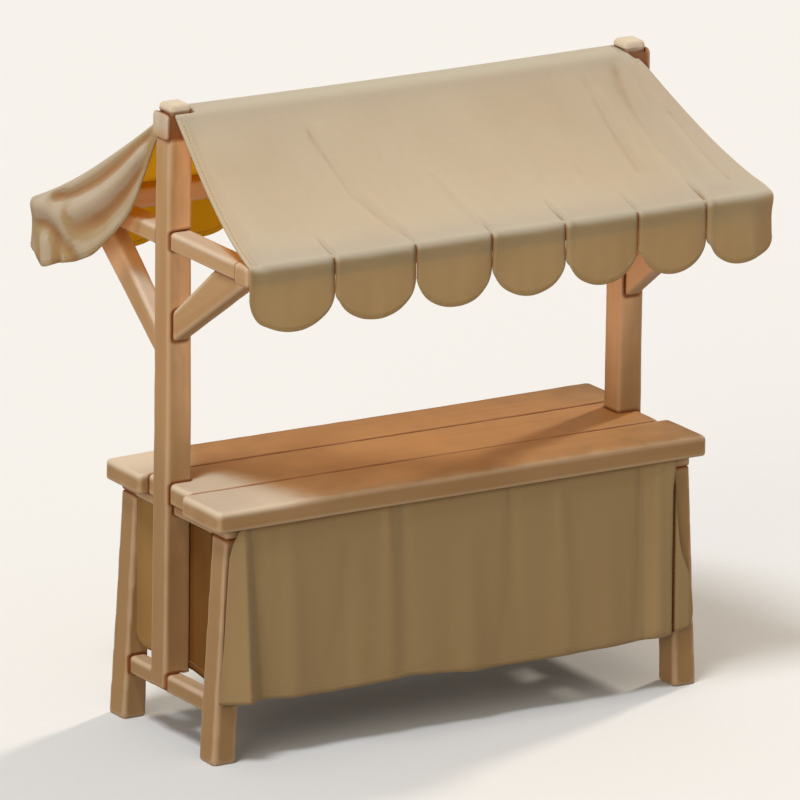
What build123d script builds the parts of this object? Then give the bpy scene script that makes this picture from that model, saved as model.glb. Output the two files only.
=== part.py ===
"""Wooden market stall: a plank counter on two trestles under a cloth gable canopy.

Millimetres, +Z up. X runs along the stall, the customers stand at -Y, and the
origin lies on the ground under the middle of the ridge. Posts, roof and cloth
repeat themselves when they are turned half round about Z. The counter and its
trestles stand a little in front of the posts, towards the customers.
"""

from math import hypot, radians, tan

import os

from build123d import *

# Counter: three planks on the trestle bearers
counter_height = 910
plank_thickness = 70
front_plank_depth = 250
middle_plank_depth = 284
back_plank_depth = 232
plank_seam = 3
plank_end_past_post = 70
counter_forward = 52
middle_plank_setback = 35
plank_edge_round = 10
plank_corner_round = 16
post_slot_clearance = 4

# King posts, one at each end of the stall
post_spacing = 1834
post_foot_width = 98
post_top_width = 90
post_head_rise = 34
post_foot_lift = 6
post_edge_round = 10

# Trestle legs, tapered and splayed a little
leg_top_width = 72
leg_top_depth = 90
leg_foot_width = 86
leg_foot_depth = 100
leg_top_inside_post = 15
leg_inset = 34
leg_splay_x = 36
leg_splay_y = 5
leg_edge_round = 9

# Cross timbers of each end frame
bearer_width = 72
bearer_height = 38
bearer_past_leg = 4
lower_rail_width = 60
lower_rail_height = 60
lower_rail_bottom = 166
tie_width = 78
tie_height = 60
tie_below_purlin_top = 4
timber_edge_round = 7

# Knee braces between post and tie rail
brace_width = 58
brace_foot_cut = 100
brace_lower_angle = 33
brace_upper_angle = 38
brace_rise = 330
long_brace_lower_angle = 37.5
long_brace_upper_angle = 41
long_brace_rise = 415

# Beams that run along the stall
ridge_end_past_post = 74
ridge_depth = 92
ridge_height = 86
ridge_top = 2218
purlin_depth = 88
purlin_height = 68
purlin_inner_y = 490
purlin_top = 1808
purlin_flush_past_post = 48
purlin_long_past_post = 185
beam_edge_round = 9

# Cloth, made as thin closed solids
cloth_thickness = 6
cloth_clearance = 0.3
canopy_sag = 48
swag_past_purlin = 3
canopy_flush_past_post = 31
canopy_free_inside_post = 18
flap_count = 7
flap_width_change = 0.12
flap_slit_width = 3
flap_slit_length = 128
valance_drop = 258
swag_drop_top = 50
swag_drop_upper = 235
swag_drop_shoulder = 313
swag_drop_eave = 245
drape_hem_height = 212
side_drape_hem_height = 240
side_drape_from_legs = 2
side_drape_inside_leg = 16
side_drape_past_post = 14
drape_corner_round = 60

# Places that follow from the dimensions above
plank_underside = counter_height - plank_thickness
bearer_bottom = plank_underside - bearer_height
post_x = post_spacing / 2
counter_length = post_spacing + 2 * plank_end_past_post
counter_depth = front_plank_depth + middle_plank_depth + back_plank_depth + 2 * plank_seam
counter_center_y = -counter_forward
front_edge_y = counter_center_y - counter_depth / 2
back_edge_y = front_edge_y + counter_depth
leg_top_outer_y = counter_depth / 2 - leg_inset
leg_foot_outer_y = leg_top_outer_y + leg_splay_y
bearer_end_y = leg_top_outer_y + bearer_past_leg
leg_top_x = post_x - leg_top_inside_post
leg_top_outer_x = leg_top_x + leg_top_width / 2
post_foot_height = lower_rail_bottom + post_foot_lift
post_top_height = ridge_top + post_head_rise
ridge_end_x = post_x + ridge_end_past_post
ridge_bottom = ridge_top - ridge_height
purlin_flush_end = post_x + purlin_flush_past_post
purlin_long_end = post_x + purlin_long_past_post
purlin_outer_y = purlin_inner_y + purlin_depth
tie_top = purlin_top - tie_below_purlin_top
tie_bottom = tie_top - tie_height
ridge_edge_y = ridge_depth / 2 + cloth_clearance
eave_edge_y = purlin_outer_y - beam_edge_round
eave_cloth_y = purlin_outer_y + cloth_clearance
eave_cloth_z = purlin_top + cloth_clearance
ridge_cloth_z = ridge_top + cloth_clearance
# The free edge runs from the post head past the inner corner of the purlin end
free_edge_x = post_x - canopy_free_inside_post
swag_run = purlin_long_end + swag_past_purlin - free_edge_x
canopy_overhang = free_edge_x + swag_run * eave_cloth_y / purlin_inner_y
SIDES = {"left": -1, "right": 1}
FACES = {"front": -1, "back": 1}


def post_half_width(height):
    """Half width of the tapered post at a height above ground."""
    rise = (height - post_foot_height) / (post_top_height - post_foot_height)
    return (post_foot_width + rise * (post_top_width - post_foot_width)) / 2


def hanging_plane(x, y, z, face):
    """Upright plane that faces out of the front or the back of the stall."""
    return Plane(origin=(x, y, z), x_dir=(-face, 0, 0), z_dir=(0, face, 0))


def keep(piece, name):
    """Label a finished piece and write it as its own node."""
    piece.part.label = name
    export_step(piece.part, f"parts/{name}.step")


def make_post(side):
    """Tapered king post, cut half way through where cross timbers pass it."""
    with BuildPart() as post:
        with BuildSketch(Plane.XY.offset(post_foot_height)):
            with Locations((side * post_x, 0)):
                RectangleRounded(post_foot_width, post_foot_width, post_edge_round)
        with BuildSketch(Plane.XY.offset(post_top_height)):
            with Locations((side * post_x, 0)):
                RectangleRounded(post_top_width, post_top_width, post_edge_round)
        loft()
        chamfer(post.faces().sort_by(Axis.Z)[-1].edges(), post_edge_round / 2)
        chamfer(post.faces().sort_by(Axis.Z)[0].edges(), post_edge_round / 2)
        # Inner half removed for the timbers that cross the post along Y
        inner_center_x = side * (post_x - post_foot_width / 2)
        for bottom, height in (
            (bearer_bottom, bearer_height),
            (lower_rail_bottom, lower_rail_height),
            (tie_bottom, tie_height),
        ):
            with Locations((inner_center_x, 0, bottom + height / 2)):
                Box(post_foot_width, 2 * post_foot_width, height, mode=Mode.SUBTRACT)
        # Back half removed for the ridge beam, which crosses along X
        with Locations((side * post_x, post_foot_width / 2, ridge_bottom + ridge_height / 2)):
            Box(2 * post_foot_width, post_foot_width, ridge_height, mode=Mode.SUBTRACT)
    return post


def make_cross_timber(side, center_x, center_y, width, length, bottom, height, joined):
    """Timber along Y with rounded arrises, housed round the pieces in joined."""
    with BuildPart() as timber:
        with Locations((side * center_x, center_y, bottom + height / 2)):
            Box(width, length, height)
        fillet(timber.edges().filter_by(Axis.Y), timber_edge_round)
        chamfer(timber.faces().filter_by(Axis.Y).edges(), timber_edge_round / 2)
        for other in joined:
            add(other.part, mode=Mode.SUBTRACT)
    return timber


def make_leg(side, face):
    """Trestle leg: narrow under the bearer, wide and splayed at the foot."""
    top_x = leg_top_x
    foot_x = leg_top_x + leg_splay_x
    top_y = counter_center_y + face * (leg_top_outer_y - leg_top_depth / 2)
    foot_y = counter_center_y + face * (leg_foot_outer_y - leg_foot_depth / 2)
    with BuildPart() as leg:
        with BuildSketch(Plane.XY):
            with Locations((side * foot_x, foot_y)):
                Rectangle(leg_foot_width, leg_foot_depth)
        with BuildSketch(Plane.XY.offset(bearer_bottom)):
            with Locations((side * top_x, top_y)):
                Rectangle(leg_top_width, leg_top_depth)
        loft()
        upright = leg.edges().filter_by(lambda edge: edge.length > bearer_bottom / 2)
        fillet(upright, leg_edge_round)
        chamfer(leg.faces().sort_by(Axis.Z)[0].edges(), leg_edge_round / 2)
    return leg


def make_brace(side, face, post, purlin):
    """Knee brace, wider at its head, from the post up to tie rail and purlin."""
    # The braces under the overhanging ends of the cloth reach further down
    is_long = face == -side
    rise = long_brace_rise if is_long else brace_rise
    low_tangent = tan(radians(long_brace_lower_angle if is_long else brace_lower_angle))
    high_tangent = tan(radians(long_brace_upper_angle if is_long else brace_upper_angle))
    foot_bottom = tie_bottom - rise
    foot_top = foot_bottom + brace_foot_cut
    foot_y = post_half_width(foot_bottom) - post_edge_round
    with BuildPart() as brace:
        with BuildSketch(Plane.YZ.offset(side * post_x - brace_width / 2)):
            with BuildLine():
                Polyline(
                    (face * foot_y, foot_bottom),
                    (face * (foot_y + rise / low_tangent), tie_bottom),
                    (face * (foot_y + (tie_bottom - foot_top) / high_tangent), tie_bottom),
                    (face * foot_y, foot_top),
                    close=True,
                )
            make_face()
        extrude(amount=brace_width)
        sloping = brace.edges().filter_by(lambda edge: edge.length > 2 * brace_foot_cut)
        fillet(sloping, timber_edge_round)
        add(post.part, mode=Mode.SUBTRACT)
        add(purlin.part, mode=Mode.SUBTRACT)
    return brace


def make_plank(name, depth, center_y, length):
    """Counter plank with rounded edges, slotted round each post it meets."""
    with BuildPart() as plank:
        with BuildSketch(Plane.XY.offset(plank_underside)):
            with Locations((0, center_y)):
                RectangleRounded(length, depth, plank_corner_round)
        extrude(amount=plank_thickness)
        fillet(plank.faces().sort_by(Axis.Z)[-1].edges(), plank_edge_round)
        fillet(plank.faces().sort_by(Axis.Z)[0].edges(), plank_edge_round / 2)
        slot_half = post_half_width(counter_height) + post_slot_clearance
        if abs(center_y) < depth / 2:
            slot_length = length - 2 * (post_x - slot_half)
            for side in SIDES.values():
                slot_x = side * (post_x - slot_half + slot_length / 2)
                with Locations((slot_x, 0, counter_height)):
                    Box(slot_length, 2 * slot_half, 2 * plank_thickness, mode=Mode.SUBTRACT)
    keep(plank, name)
    return plank


def make_beam(name, start_x, end_x, center_y, depth, top, height, joined):
    """Beam along X with rounded arrises and softened ends."""
    with BuildPart() as beam:
        with Locations(((start_x + end_x) / 2, center_y, top - height / 2)):
            Box(end_x - start_x, depth, height)
        fillet(beam.edges().filter_by(Axis.X), beam_edge_round)
        chamfer(beam.faces().filter_by(Axis.X).edges(), beam_edge_round / 2)
        for other in joined:
            add(other.part, mode=Mode.SUBTRACT)
    keep(beam, name)
    return beam


def slope_point(face, along, drop=0):
    """Point (y, z) of the sagging cloth, from the ridge (0) to the eave (1)."""
    y = ridge_edge_y + along * (eave_edge_y - ridge_edge_y)
    straight_z = ridge_cloth_z + along * (eave_cloth_z - ridge_cloth_z)
    sag = 4 * canopy_sag * along * (1 - along)
    return face * y, straight_z - sag + cloth_thickness / 2 - drop


def slope_spline(face):
    """Line of the cloth down one slope, as a spline in the Y-Z plane."""
    return Spline(*(slope_point(face, step / 4) for step in range(5)))


def make_canopy():
    """Canopy cloth over ridge and purlins, sagging between them on both slopes."""
    with BuildPart() as canopy:
        with BuildSketch(Plane.YZ.offset(-canopy_overhang)):
            with BuildLine():
                front = slope_spline(FACES["front"])
                back = slope_spline(FACES["back"])
                Line(front @ 0, back @ 0)
                for slope in (front, back):
                    edge = slope @ 1
                    hem_y = eave_cloth_y if edge.X > 0 else -eave_cloth_y
                    Line(edge, (hem_y, edge.Y))
            trace(line_width=cloth_thickness)
        extrude(amount=2 * canopy_overhang)
        # Plan outline: flush at two corners, flared past the frame at the others
        with BuildSketch(Plane.XY):
            with BuildLine():
                corners = [
                    (-post_x - canopy_flush_past_post, 0),
                    (-purlin_flush_end, -eave_cloth_y),
                    (canopy_overhang, -eave_cloth_y),
                    (free_edge_x, 0),
                ]
                turned = [(-x, -y) for x, y in corners]
                Polyline(*corners, *turned, close=True)
            make_face()
        extrude(amount=2 * post_top_height, mode=Mode.INTERSECT)
        # Cut round each post head and the bare end of the ridge beam
        hole_half = post_half_width(ridge_top) + post_slot_clearance
        inner_x = post_x - hole_half
        for side in SIDES.values():
            with Locations((side * (inner_x + canopy_overhang) / 2, 0, ridge_top)):
                Box(
                    canopy_overhang - inner_x,
                    ridge_depth + 2 * cloth_clearance,
                    2 * ridge_height,
                    mode=Mode.SUBTRACT,
                )
    keep(canopy, "canopy")
    return canopy


def make_valance(name, face):
    """Row of U-shaped flaps that hangs from the eave fold of the canopy."""
    length = canopy_overhang + purlin_flush_end
    center_x = -face * (canopy_overhang - purlin_flush_end) / 2
    top = eave_cloth_z + cloth_thickness
    band_height = flap_slit_length / 4
    arc_height = valance_drop - flap_slit_length
    # The flaps narrow evenly from the flush end to the overhanging end
    middle_number = (flap_count - 1) / 2
    flap_widths = [
        length / flap_count * (1 + flap_width_change * (1 - number / middle_number))
        for number in range(flap_count)
    ]
    with BuildPart() as valance:
        with BuildSketch(hanging_plane(center_x, face * eave_cloth_y, top, face)):
            with Locations((0, -band_height / 2)):
                Rectangle(length, band_height)
            for number, flap_width in enumerate(flap_widths):
                flap_x = sum(flap_widths[:number]) + flap_width / 2 - length / 2
                body_width = flap_width - flap_slit_width
                with Locations((flap_x, -flap_slit_length / 2)):
                    Rectangle(body_width, flap_slit_length)
                with Locations((flap_x, -flap_slit_length)):
                    Ellipse(body_width / 2, arc_height)
        extrude(amount=cloth_thickness)
    keep(valance, name)
    return valance


def make_swag(name, side):
    """Free end of the cloth that droops between ridge beam and purlin end."""
    # It hangs at the back of the left end and at the front of the right end
    face = -side
    edge_dx = canopy_overhang - free_edge_x
    edge_length = hypot(edge_dx, eave_cloth_y)
    across_x = cloth_thickness * eave_cloth_y / edge_length
    across_y = cloth_thickness * edge_dx / edge_length
    with BuildPart() as swag:
        with BuildSketch(Plane.YZ.offset(side * (free_edge_x - cloth_thickness))):
            with BuildLine():
                upper = slope_spline(face)
                hem_end = (face * eave_cloth_y, eave_cloth_z - swag_drop_eave)
                Line(upper @ 1, (face * eave_cloth_y, (upper @ 1).Y))
                Line((face * eave_cloth_y, (upper @ 1).Y), hem_end)
                lower = Spline(
                    hem_end,
                    slope_point(face, 0.5, swag_drop_shoulder),
                    slope_point(face, 0.2, swag_drop_upper),
                    slope_point(face, 0, swag_drop_top),
                )
                Line(lower @ 1, upper @ 0)
            make_face()
        extrude(amount=side * (edge_dx + 3 * cloth_thickness))
        # Only the thickness of the cloth along the flared edge is kept
        with BuildSketch(Plane.XY):
            with BuildLine():
                start = (side * free_edge_x, 0)
                end = (side * canopy_overhang, face * eave_cloth_y)
                end_out = (end[0] + side * across_x, end[1] + side * across_y)
                start_out = (start[0] + side * across_x, start[1] + side * across_y)
                Polyline(start, end, end_out, start_out, close=True)
            make_face()
        extrude(amount=2 * post_top_height, mode=Mode.INTERSECT)
    keep(swag, name)
    return swag


def make_long_drape(name, face):
    """Drape under the counter edge, cut back at the top round the bearer ends."""
    inner_y = max(leg_top_outer_y, leg_foot_outer_y) + 2 * cloth_clearance
    main_half = leg_top_x - bearer_width / 2 - post_slot_clearance
    end_half = leg_top_outer_x
    with BuildPart() as drape:
        with BuildSketch(hanging_plane(0, counter_center_y + face * inner_y, 0, face)):
            top = plank_underside
            shoulder = bearer_bottom - post_slot_clearance
            with Locations((0, (top + drape_hem_height) / 2)):
                Rectangle(2 * main_half, top - drape_hem_height)
            with Locations((0, (shoulder + drape_hem_height) / 2)):
                Rectangle(2 * end_half, shoulder - drape_hem_height)
        extrude(amount=cloth_thickness)
    keep(drape, name)
    return drape


def make_side_drape(name, side):
    """Drape inside an end frame, drawn in behind the post, with rounded lower corners."""
    inner_x = post_x - post_foot_width / 2 - cloth_clearance - cloth_thickness / 2
    outer_x = leg_top_outer_x - side_drape_inside_leg
    height = bearer_bottom - cloth_clearance - side_drape_hem_height
    half_width = leg_foot_outer_y - leg_foot_depth - side_drape_from_legs
    post_side_y = post_foot_width / 2 + side_drape_past_post
    with BuildPart() as drape:
        with BuildSketch(Plane.XY.offset(side_drape_hem_height)):
            with BuildLine():
                Polyline(
                    (side * outer_x, counter_center_y - half_width),
                    (side * inner_x, -post_side_y),
                    (side * inner_x, post_side_y),
                    (side * outer_x, counter_center_y + half_width),
                )
            trace(line_width=cloth_thickness)
        extrude(amount=height)
        with BuildSketch(Plane.YZ) as outline:
            with Locations((counter_center_y, side_drape_hem_height + height / 2)):
                Rectangle(2 * half_width, height)
            fillet(outline.vertices().group_by(Axis.Z)[0], drape_corner_round)
        extrude(amount=side * counter_length, mode=Mode.INTERSECT)
    keep(drape, name)
    return drape


os.makedirs("parts", exist_ok=True)

make_plank("counter_board_front", front_plank_depth, front_edge_y + front_plank_depth / 2, counter_length)
middle_center_y = front_edge_y + front_plank_depth + plank_seam + middle_plank_depth / 2
middle_length = counter_length - 2 * middle_plank_setback
make_plank("counter_board_middle", middle_plank_depth, middle_center_y, middle_length)
make_plank("counter_board_back", back_plank_depth, back_edge_y - back_plank_depth / 2, counter_length)

purlin_center_y = purlin_inner_y + purlin_depth / 2
purlins = {}
for face_name, face in FACES.items():
    # The front purlin runs on past the right frame, the back one past the left
    ends = sorted((face * purlin_flush_end, -face * purlin_long_end))
    purlins[face_name] = make_beam(
        f"{face_name}_purlin", *ends, face * purlin_center_y, purlin_depth, purlin_top, purlin_height, []
    )

posts = []
for side_name, side in SIDES.items():
    post = make_post(side)
    posts.append(post)
    keep(post, f"{side_name}_post")
    legs = []
    for face_name, face in FACES.items():
        leg = make_leg(side, face)
        legs.append(leg)
        keep(leg, f"{side_name}_{face_name}_leg")
        keep(make_brace(side, face, post, purlins[face_name]), f"{side_name}_{face_name}_brace")
    bearer = make_cross_timber(
        side, leg_top_x, counter_center_y, bearer_width, 2 * bearer_end_y, bearer_bottom, bearer_height, [post]
    )
    keep(bearer, f"{side_name}_bearer")
    rail_middle = lower_rail_bottom + lower_rail_height / 2
    rail_x = leg_top_x + leg_splay_x * (1 - rail_middle / bearer_bottom)
    rail_length = 2 * (leg_top_outer_y - leg_top_depth / 2)
    rail = make_cross_timber(
        side,
        rail_x,
        counter_center_y,
        lower_rail_width,
        rail_length,
        lower_rail_bottom,
        lower_rail_height,
        [post, *legs],
    )
    keep(rail, f"{side_name}_lower_rail")
    tie = make_cross_timber(side, post_x, 0, tie_width, 2 * purlin_inner_y, tie_bottom, tie_height, [post])
    keep(tie, f"{side_name}_tie_rail")

make_beam("ridge_beam", -ridge_end_x, ridge_end_x, 0, ridge_depth, ridge_top, ridge_height, posts)

make_canopy()
for face_name, face in FACES.items():
    make_valance(f"{face_name}_valance", face)
    make_long_drape(f"{face_name}_drape", face)
for side_name, side in SIDES.items():
    make_swag(f"{side_name}_swag", side)
    make_side_drape(f"{side_name}_side_drape", side)
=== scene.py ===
"""Looks of the wooden market stall: worn timbers, hung cloth with sewn hems, and the studio."""

from __future__ import annotations

import logging
import math
from dataclasses import dataclass, replace
from enum import Enum
from typing import Any, Callable, Mapping, Sequence

import bmesh
import bpy
import numpy as np
from mathutils import Matrix, Vector, noise
from mathutils.bvhtree import BVHTree


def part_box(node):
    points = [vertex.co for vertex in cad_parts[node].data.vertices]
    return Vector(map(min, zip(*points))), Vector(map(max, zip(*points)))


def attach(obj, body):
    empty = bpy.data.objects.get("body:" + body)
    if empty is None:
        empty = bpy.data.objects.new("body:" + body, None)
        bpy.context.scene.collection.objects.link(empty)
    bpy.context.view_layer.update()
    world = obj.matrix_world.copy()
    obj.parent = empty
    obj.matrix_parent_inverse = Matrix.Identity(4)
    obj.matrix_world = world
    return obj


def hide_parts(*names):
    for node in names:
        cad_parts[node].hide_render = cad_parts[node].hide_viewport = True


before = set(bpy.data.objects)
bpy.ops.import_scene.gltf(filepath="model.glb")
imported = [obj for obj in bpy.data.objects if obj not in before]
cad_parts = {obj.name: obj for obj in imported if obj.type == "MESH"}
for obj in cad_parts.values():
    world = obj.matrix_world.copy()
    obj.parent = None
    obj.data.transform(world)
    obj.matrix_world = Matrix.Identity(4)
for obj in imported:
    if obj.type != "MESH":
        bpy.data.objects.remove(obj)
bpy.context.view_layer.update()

logging.basicConfig(level=logging.INFO, format="%(message)s")
log = logging.getLogger("market_stall")

Colour = tuple[float, float, float]
CLOTH_WORDS = ("canopy", "valance", "swag", "drape")


class Face(Enum):
    """Long side of the stall, with the direction in which it faces along Y."""

    FRONT = -1
    BACK = 1


class End(Enum):
    """End of the stall, with the direction in which it faces along X."""

    LEFT = -1
    RIGHT = 1


# Shader maths


class Wire:
    """Number that flows between shader nodes and takes part in Python arithmetic."""

    def __init__(self, graph: Graph, socket: bpy.types.NodeSocket) -> None:
        """Keep the graph and the output socket that carries the number."""
        self.graph = graph
        self.socket = socket

    def _math(self, operation: str, *operands: Wire | float) -> Wire:
        """Add one Math node on the operands."""
        node = self.graph.node("ShaderNodeMath", {"operation": operation}, dict(enumerate(operands)))
        return Wire(self.graph, node.outputs[0])

    def __add__(self, other: Wire | float) -> Wire:
        """Sum with a wire or a number."""
        return self._math("ADD", self, other)

    def __sub__(self, other: Wire | float) -> Wire:
        """Difference to a wire or a number."""
        return self._math("SUBTRACT", self, other)

    def __rsub__(self, other: Wire | float) -> Wire:
        """Difference of a number to this wire."""
        return self._math("SUBTRACT", other, self)

    def __mul__(self, other: Wire | float) -> Wire:
        """Product with a wire or a number."""
        return self._math("MULTIPLY", self, other)

    def __pow__(self, other: Wire | float) -> Wire:
        """Power of this wire."""
        return self._math("POWER", self, other)

    __radd__ = __add__
    __rmul__ = __mul__


class Graph:
    """Node tree of one material, filled by method calls."""

    def __init__(self, name: str, roughness: float, **constants: float) -> None:
        """Start a material with a Principled shader.

        Args:
            name: Name of the material.
            roughness: Roughness of its surface.
            constants: Other values of the shader, with underscores for spaces.
        """
        self.material = bpy.data.materials.new(name)
        self.material.use_nodes = True
        self.tree = self.material.node_tree
        self.shader = self.tree.nodes["Principled BSDF"]
        self.shader.inputs["Roughness"].default_value = roughness
        for key, value in constants.items():
            self.shader.inputs[key.replace("_", " ")].default_value = value

    def node(
        self, kind: str, settings: Mapping[str, Any] | None = None, inputs: Mapping[Any, Any] | None = None
    ) -> bpy.types.Node:
        """Add a node.

        Args:
            kind: Type of the node.
            settings: Its settings, with "stops" for a ramp's positions and colours.
            inputs: Values, wires or sockets for its inputs, by name or number.

        Returns:
            The new node.
        """
        made = self.tree.nodes.new(kind)
        for key, value in (settings or {}).items():
            if key == "stops":
                while len(made.color_ramp.elements) < len(value):
                    made.color_ramp.elements.new(1.0)
                for element, (position, colour) in zip(made.color_ramp.elements, value):
                    element.position = position
                    element.color = (*colour, 1.0)
            else:
                setattr(made, key, value)
        for key, value in (inputs or {}).items():
            self.feed(made.inputs[key], value)
        return made

    def feed(self, socket: bpy.types.NodeSocket, value: Any) -> None:
        """Link or set one input socket."""
        if isinstance(value, Wire):
            self.tree.links.new(value.socket, socket)
        elif isinstance(value, bpy.types.NodeSocket):
            self.tree.links.new(value, socket)
        elif isinstance(value, tuple) and socket.type == "RGBA":
            socket.default_value = (*value, 1.0)
        else:
            socket.default_value = value

    def attribute(self, name: str) -> Wire:
        """Number stored on the piece's points."""
        return Wire(self, self.node("ShaderNodeAttribute", {"attribute_name": name}).outputs["Fac"])

    def attribute_vector(self, name: str) -> bpy.types.NodeSocket:
        """Vector stored on the piece's points."""
        return self.node("ShaderNodeAttribute", {"attribute_name": name}).outputs["Vector"]

    def stretch(self, place: bpy.types.NodeSocket, scale: Colour) -> bpy.types.NodeSocket:
        """Place multiplied by a scale along each axis."""
        node = self.node("ShaderNodeVectorMath", {"operation": "MULTIPLY"}, {0: place, 1: scale})
        return node.outputs["Vector"]

    def noise(self, place: bpy.types.NodeSocket, scale: float, detail: float = 3.0) -> Wire:
        """Noise from 0 to 1 at a place."""
        inputs = {"Vector": place, "Scale": scale, "Detail": detail}
        return Wire(self, self.node("ShaderNodeTexNoise", inputs=inputs).outputs["Fac"])

    def ramp(self, factor: Wire, stops: Sequence[tuple[float, Colour]]) -> bpy.types.NodeSocket:
        """Colour picked from a ramp by a number."""
        return self.node("ShaderNodeValToRGB", {"stops": stops}, {"Fac": factor}).outputs["Color"]

    def level(self, factor: Wire, start: float, full: float) -> Wire:
        """Number that rises smoothly from 0 at start to 1 at full, which may be the lower of the two."""
        inputs = {"Value": factor, "From Min": start, "From Max": full}
        settings = {"interpolation_type": "SMOOTHSTEP"}
        return Wire(self, self.node("ShaderNodeMapRange", settings, inputs).outputs["Result"])

    def mix(self, factor: Wire | float, first: Any, second: Any) -> bpy.types.NodeSocket:
        """Mix of two colours.

        Args:
            factor: Share of the second colour.
            first: Colour or socket.
            second: Colour or socket.

        Returns:
            The socket of the mixed colour.
        """
        node = self.node("ShaderNodeMix", {"data_type": "RGBA"})
        self.feed(node.inputs["Factor"], factor)
        for socket, value in zip([item for item in node.inputs if item.type == "RGBA"], (first, second)):
            self.feed(socket, value)
        return next(socket for socket in node.outputs if socket.type == "RGBA")

    def height(self) -> Wire:
        """Height above ground."""
        place = self.node("ShaderNodeTexCoord").outputs["Object"]
        return Wire(self, self.node("ShaderNodeSeparateXYZ", inputs={0: place}).outputs["Z"])

    def bump(self, height: Wire, distance: float, strength: float = 1.0) -> None:
        """Raise the surface by a height, in metres at a height of 1."""
        inputs = {"Height": height, "Distance": distance, "Strength": strength}
        node = self.node("ShaderNodeBump", inputs=inputs)
        self.feed(self.shader.inputs["Normal"], node.outputs["Normal"])

    def finish(
        self, colour: bpy.types.NodeSocket, glow: Colour | None = None, glow_share: float = 0.0
    ) -> bpy.types.Material:
        """Feed the colour and, for thin cloth, let light through.

        Args:
            colour: Socket of the surface colour.
            glow: Colour of the light that passes through.
            glow_share: Share of the light that passes through.

        Returns:
            The finished material.
        """
        self.feed(self.shader.inputs["Base Color"], colour)
        if glow is not None:
            through = self.node("ShaderNodeBsdfTranslucent", inputs={"Color": glow})
            mixed = self.node("ShaderNodeMixShader", inputs={"Fac": glow_share})
            self.feed(mixed.inputs[1], self.shader.outputs["BSDF"])
            self.feed(mixed.inputs[2], through.outputs["BSDF"])
            self.feed(self.tree.nodes["Material Output"].inputs["Surface"], mixed.outputs["Shader"])
        return self.material


@dataclass(frozen=True)
class Tint:
    """Colour laid over another, from nothing where a number is at start to its share where it is at full."""

    colour: Colour
    share: float
    start: float
    full: float

    def over(self, graph: Graph, number: Wire, below: Any) -> bpy.types.NodeSocket:
        """Lay the tint over a colour or socket."""
        return graph.mix(graph.level(number, self.start, self.full) * self.share, below, self.colour)


@dataclass(frozen=True)
class WoodFinish:
    """Planed softwood, worn smooth, paler as painted light where the key lamp reaches, with painted glow and
    shade under cover, and dark in the joints from dirt and painted shade.
    """

    name: str = "pale_timber"
    heart: Colour = (0.38, 0.19, 0.072)
    body: Colour = (0.455, 0.268, 0.122)
    pale: Colour = (0.54, 0.345, 0.185)
    dark_brown: Colour = (0.255, 0.143, 0.050)
    bleached_and_lit: Colour = (0.61, 0.52, 0.41)
    stain_and_shade: Colour = (0.25, 0.075, 0.012)
    painted_cover_glow: Tint = Tint((0.92, 0.57, 0.32), share=0.86, start=0.26, full=0.92)
    below_eaves: Tint = Tint(dark_brown, share=0.66, start=1.25, full=0.80)
    painted_covered_top_glow: Tint = Tint((0.66, 0.335, 0.10), share=0.80, start=0.2, full=0.8)
    heads: Tint = Tint(bleached_and_lit, share=0.86, start=2.12, full=2.19)
    feet: Tint = Tint(dark_brown, share=0.32, start=0.86, full=0.45)
    painted_underside_shade: Tint = Tint(dark_brown, share=0.55, start=-0.25, full=-0.80)
    worn: Tint = Tint((0.72, 0.55, 0.39), share=0.27, start=0.15, full=0.95)
    grain_share: float = 0.55
    stain_and_shade_share: float = 0.92
    roughness: float = 0.62

    def material(self) -> bpy.types.Material:
        """Build the material from the piece's grain, wear and joint attributes, and from its painted light
        and shade attributes.

        Returns:
            The wood material.
        """
        graph = Graph(self.name, self.roughness, Specular_IOR_Level=0.35)
        grain = graph.attribute_vector("grain")
        tone = graph.noise(graph.stretch(grain, (0.7, 5.0, 5.0)), 1.6, 2.0)
        streak = graph.noise(graph.stretch(grain, (1.1, 26.0, 26.0)), 1.3, 4.0)
        fibre = graph.noise(graph.stretch(grain, (5.0, 190.0, 190.0)), 1.0, 3.0)
        uneven = tone - 0.5
        height, up, sun = graph.height(), graph.attribute("up"), graph.attribute("sun")
        shelter = 1.0 - graph.attribute("open")
        blend = graph.level(tone * 0.6 + streak * 0.4, 0.32, 0.68)
        colour = graph.ramp(blend, [(0.0, self.heart), (0.42, self.body), (1.0, self.pale)])
        colour = graph.mix(self.grain_share, self.body, colour)
        # Painted light: warmer and brighter where little sky is seen, standing in for glow under the canopy.
        colour = self.painted_cover_glow.over(graph, shelter, colour)
        # Darker towards the bottom.
        colour = self.below_eaves.over(graph, height + uneven * 0.3, colour)
        # Painted light: upward faces under cover turn warm orange, standing in for light in the canopy's
        # shade.
        colour = self.painted_covered_top_glow.over(graph, up * shelter, colour)
        lines = graph.level(streak, 0.56, 0.72) * 0.16 + graph.level(fibre, 0.5, 0.8) * 0.12
        colour = graph.mix(lines, colour, self.heart)
        # Painted light: paler where the key lamp's direction is clear of the pieces, more so higher up.
        raised = graph.level(height, 0.20, 0.86) * 0.40 + 0.50
        colour = graph.mix(graph.level(sun, 0.08, 0.70) * raised, colour, self.bleached_and_lit)
        # Post heads paler at the top: bleaching, and painted light.
        colour = self.heads.over(graph, height, colour)
        # Darker again near the ground.
        colour = self.feet.over(graph, height + uneven * 0.2, colour)
        # Painted shade: darker on faces that point down.
        colour = self.painted_underside_shade.over(graph, up, colour)
        # Pale arrises: wear, and painted highlight along the edges.
        colour = self.worn.over(graph, graph.attribute("arris") + uneven * 0.5, colour)
        # Dark in the joints: dirt, and painted shade where parts meet.
        stained = graph.level(graph.attribute("joint") + uneven * 0.4, 0.16, 0.84) ** 1.3
        colour = graph.mix(stained * self.stain_and_shade_share, colour, self.stain_and_shade)
        rough = graph.level(streak, 0.2, 0.9) * 0.16 + (self.roughness - 0.08)
        graph.feed(graph.shader.inputs["Roughness"], rough)
        graph.bump(fibre * 0.35 + streak * 0.65, 0.0011, 0.55)
        return graph.finish(colour)


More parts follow.
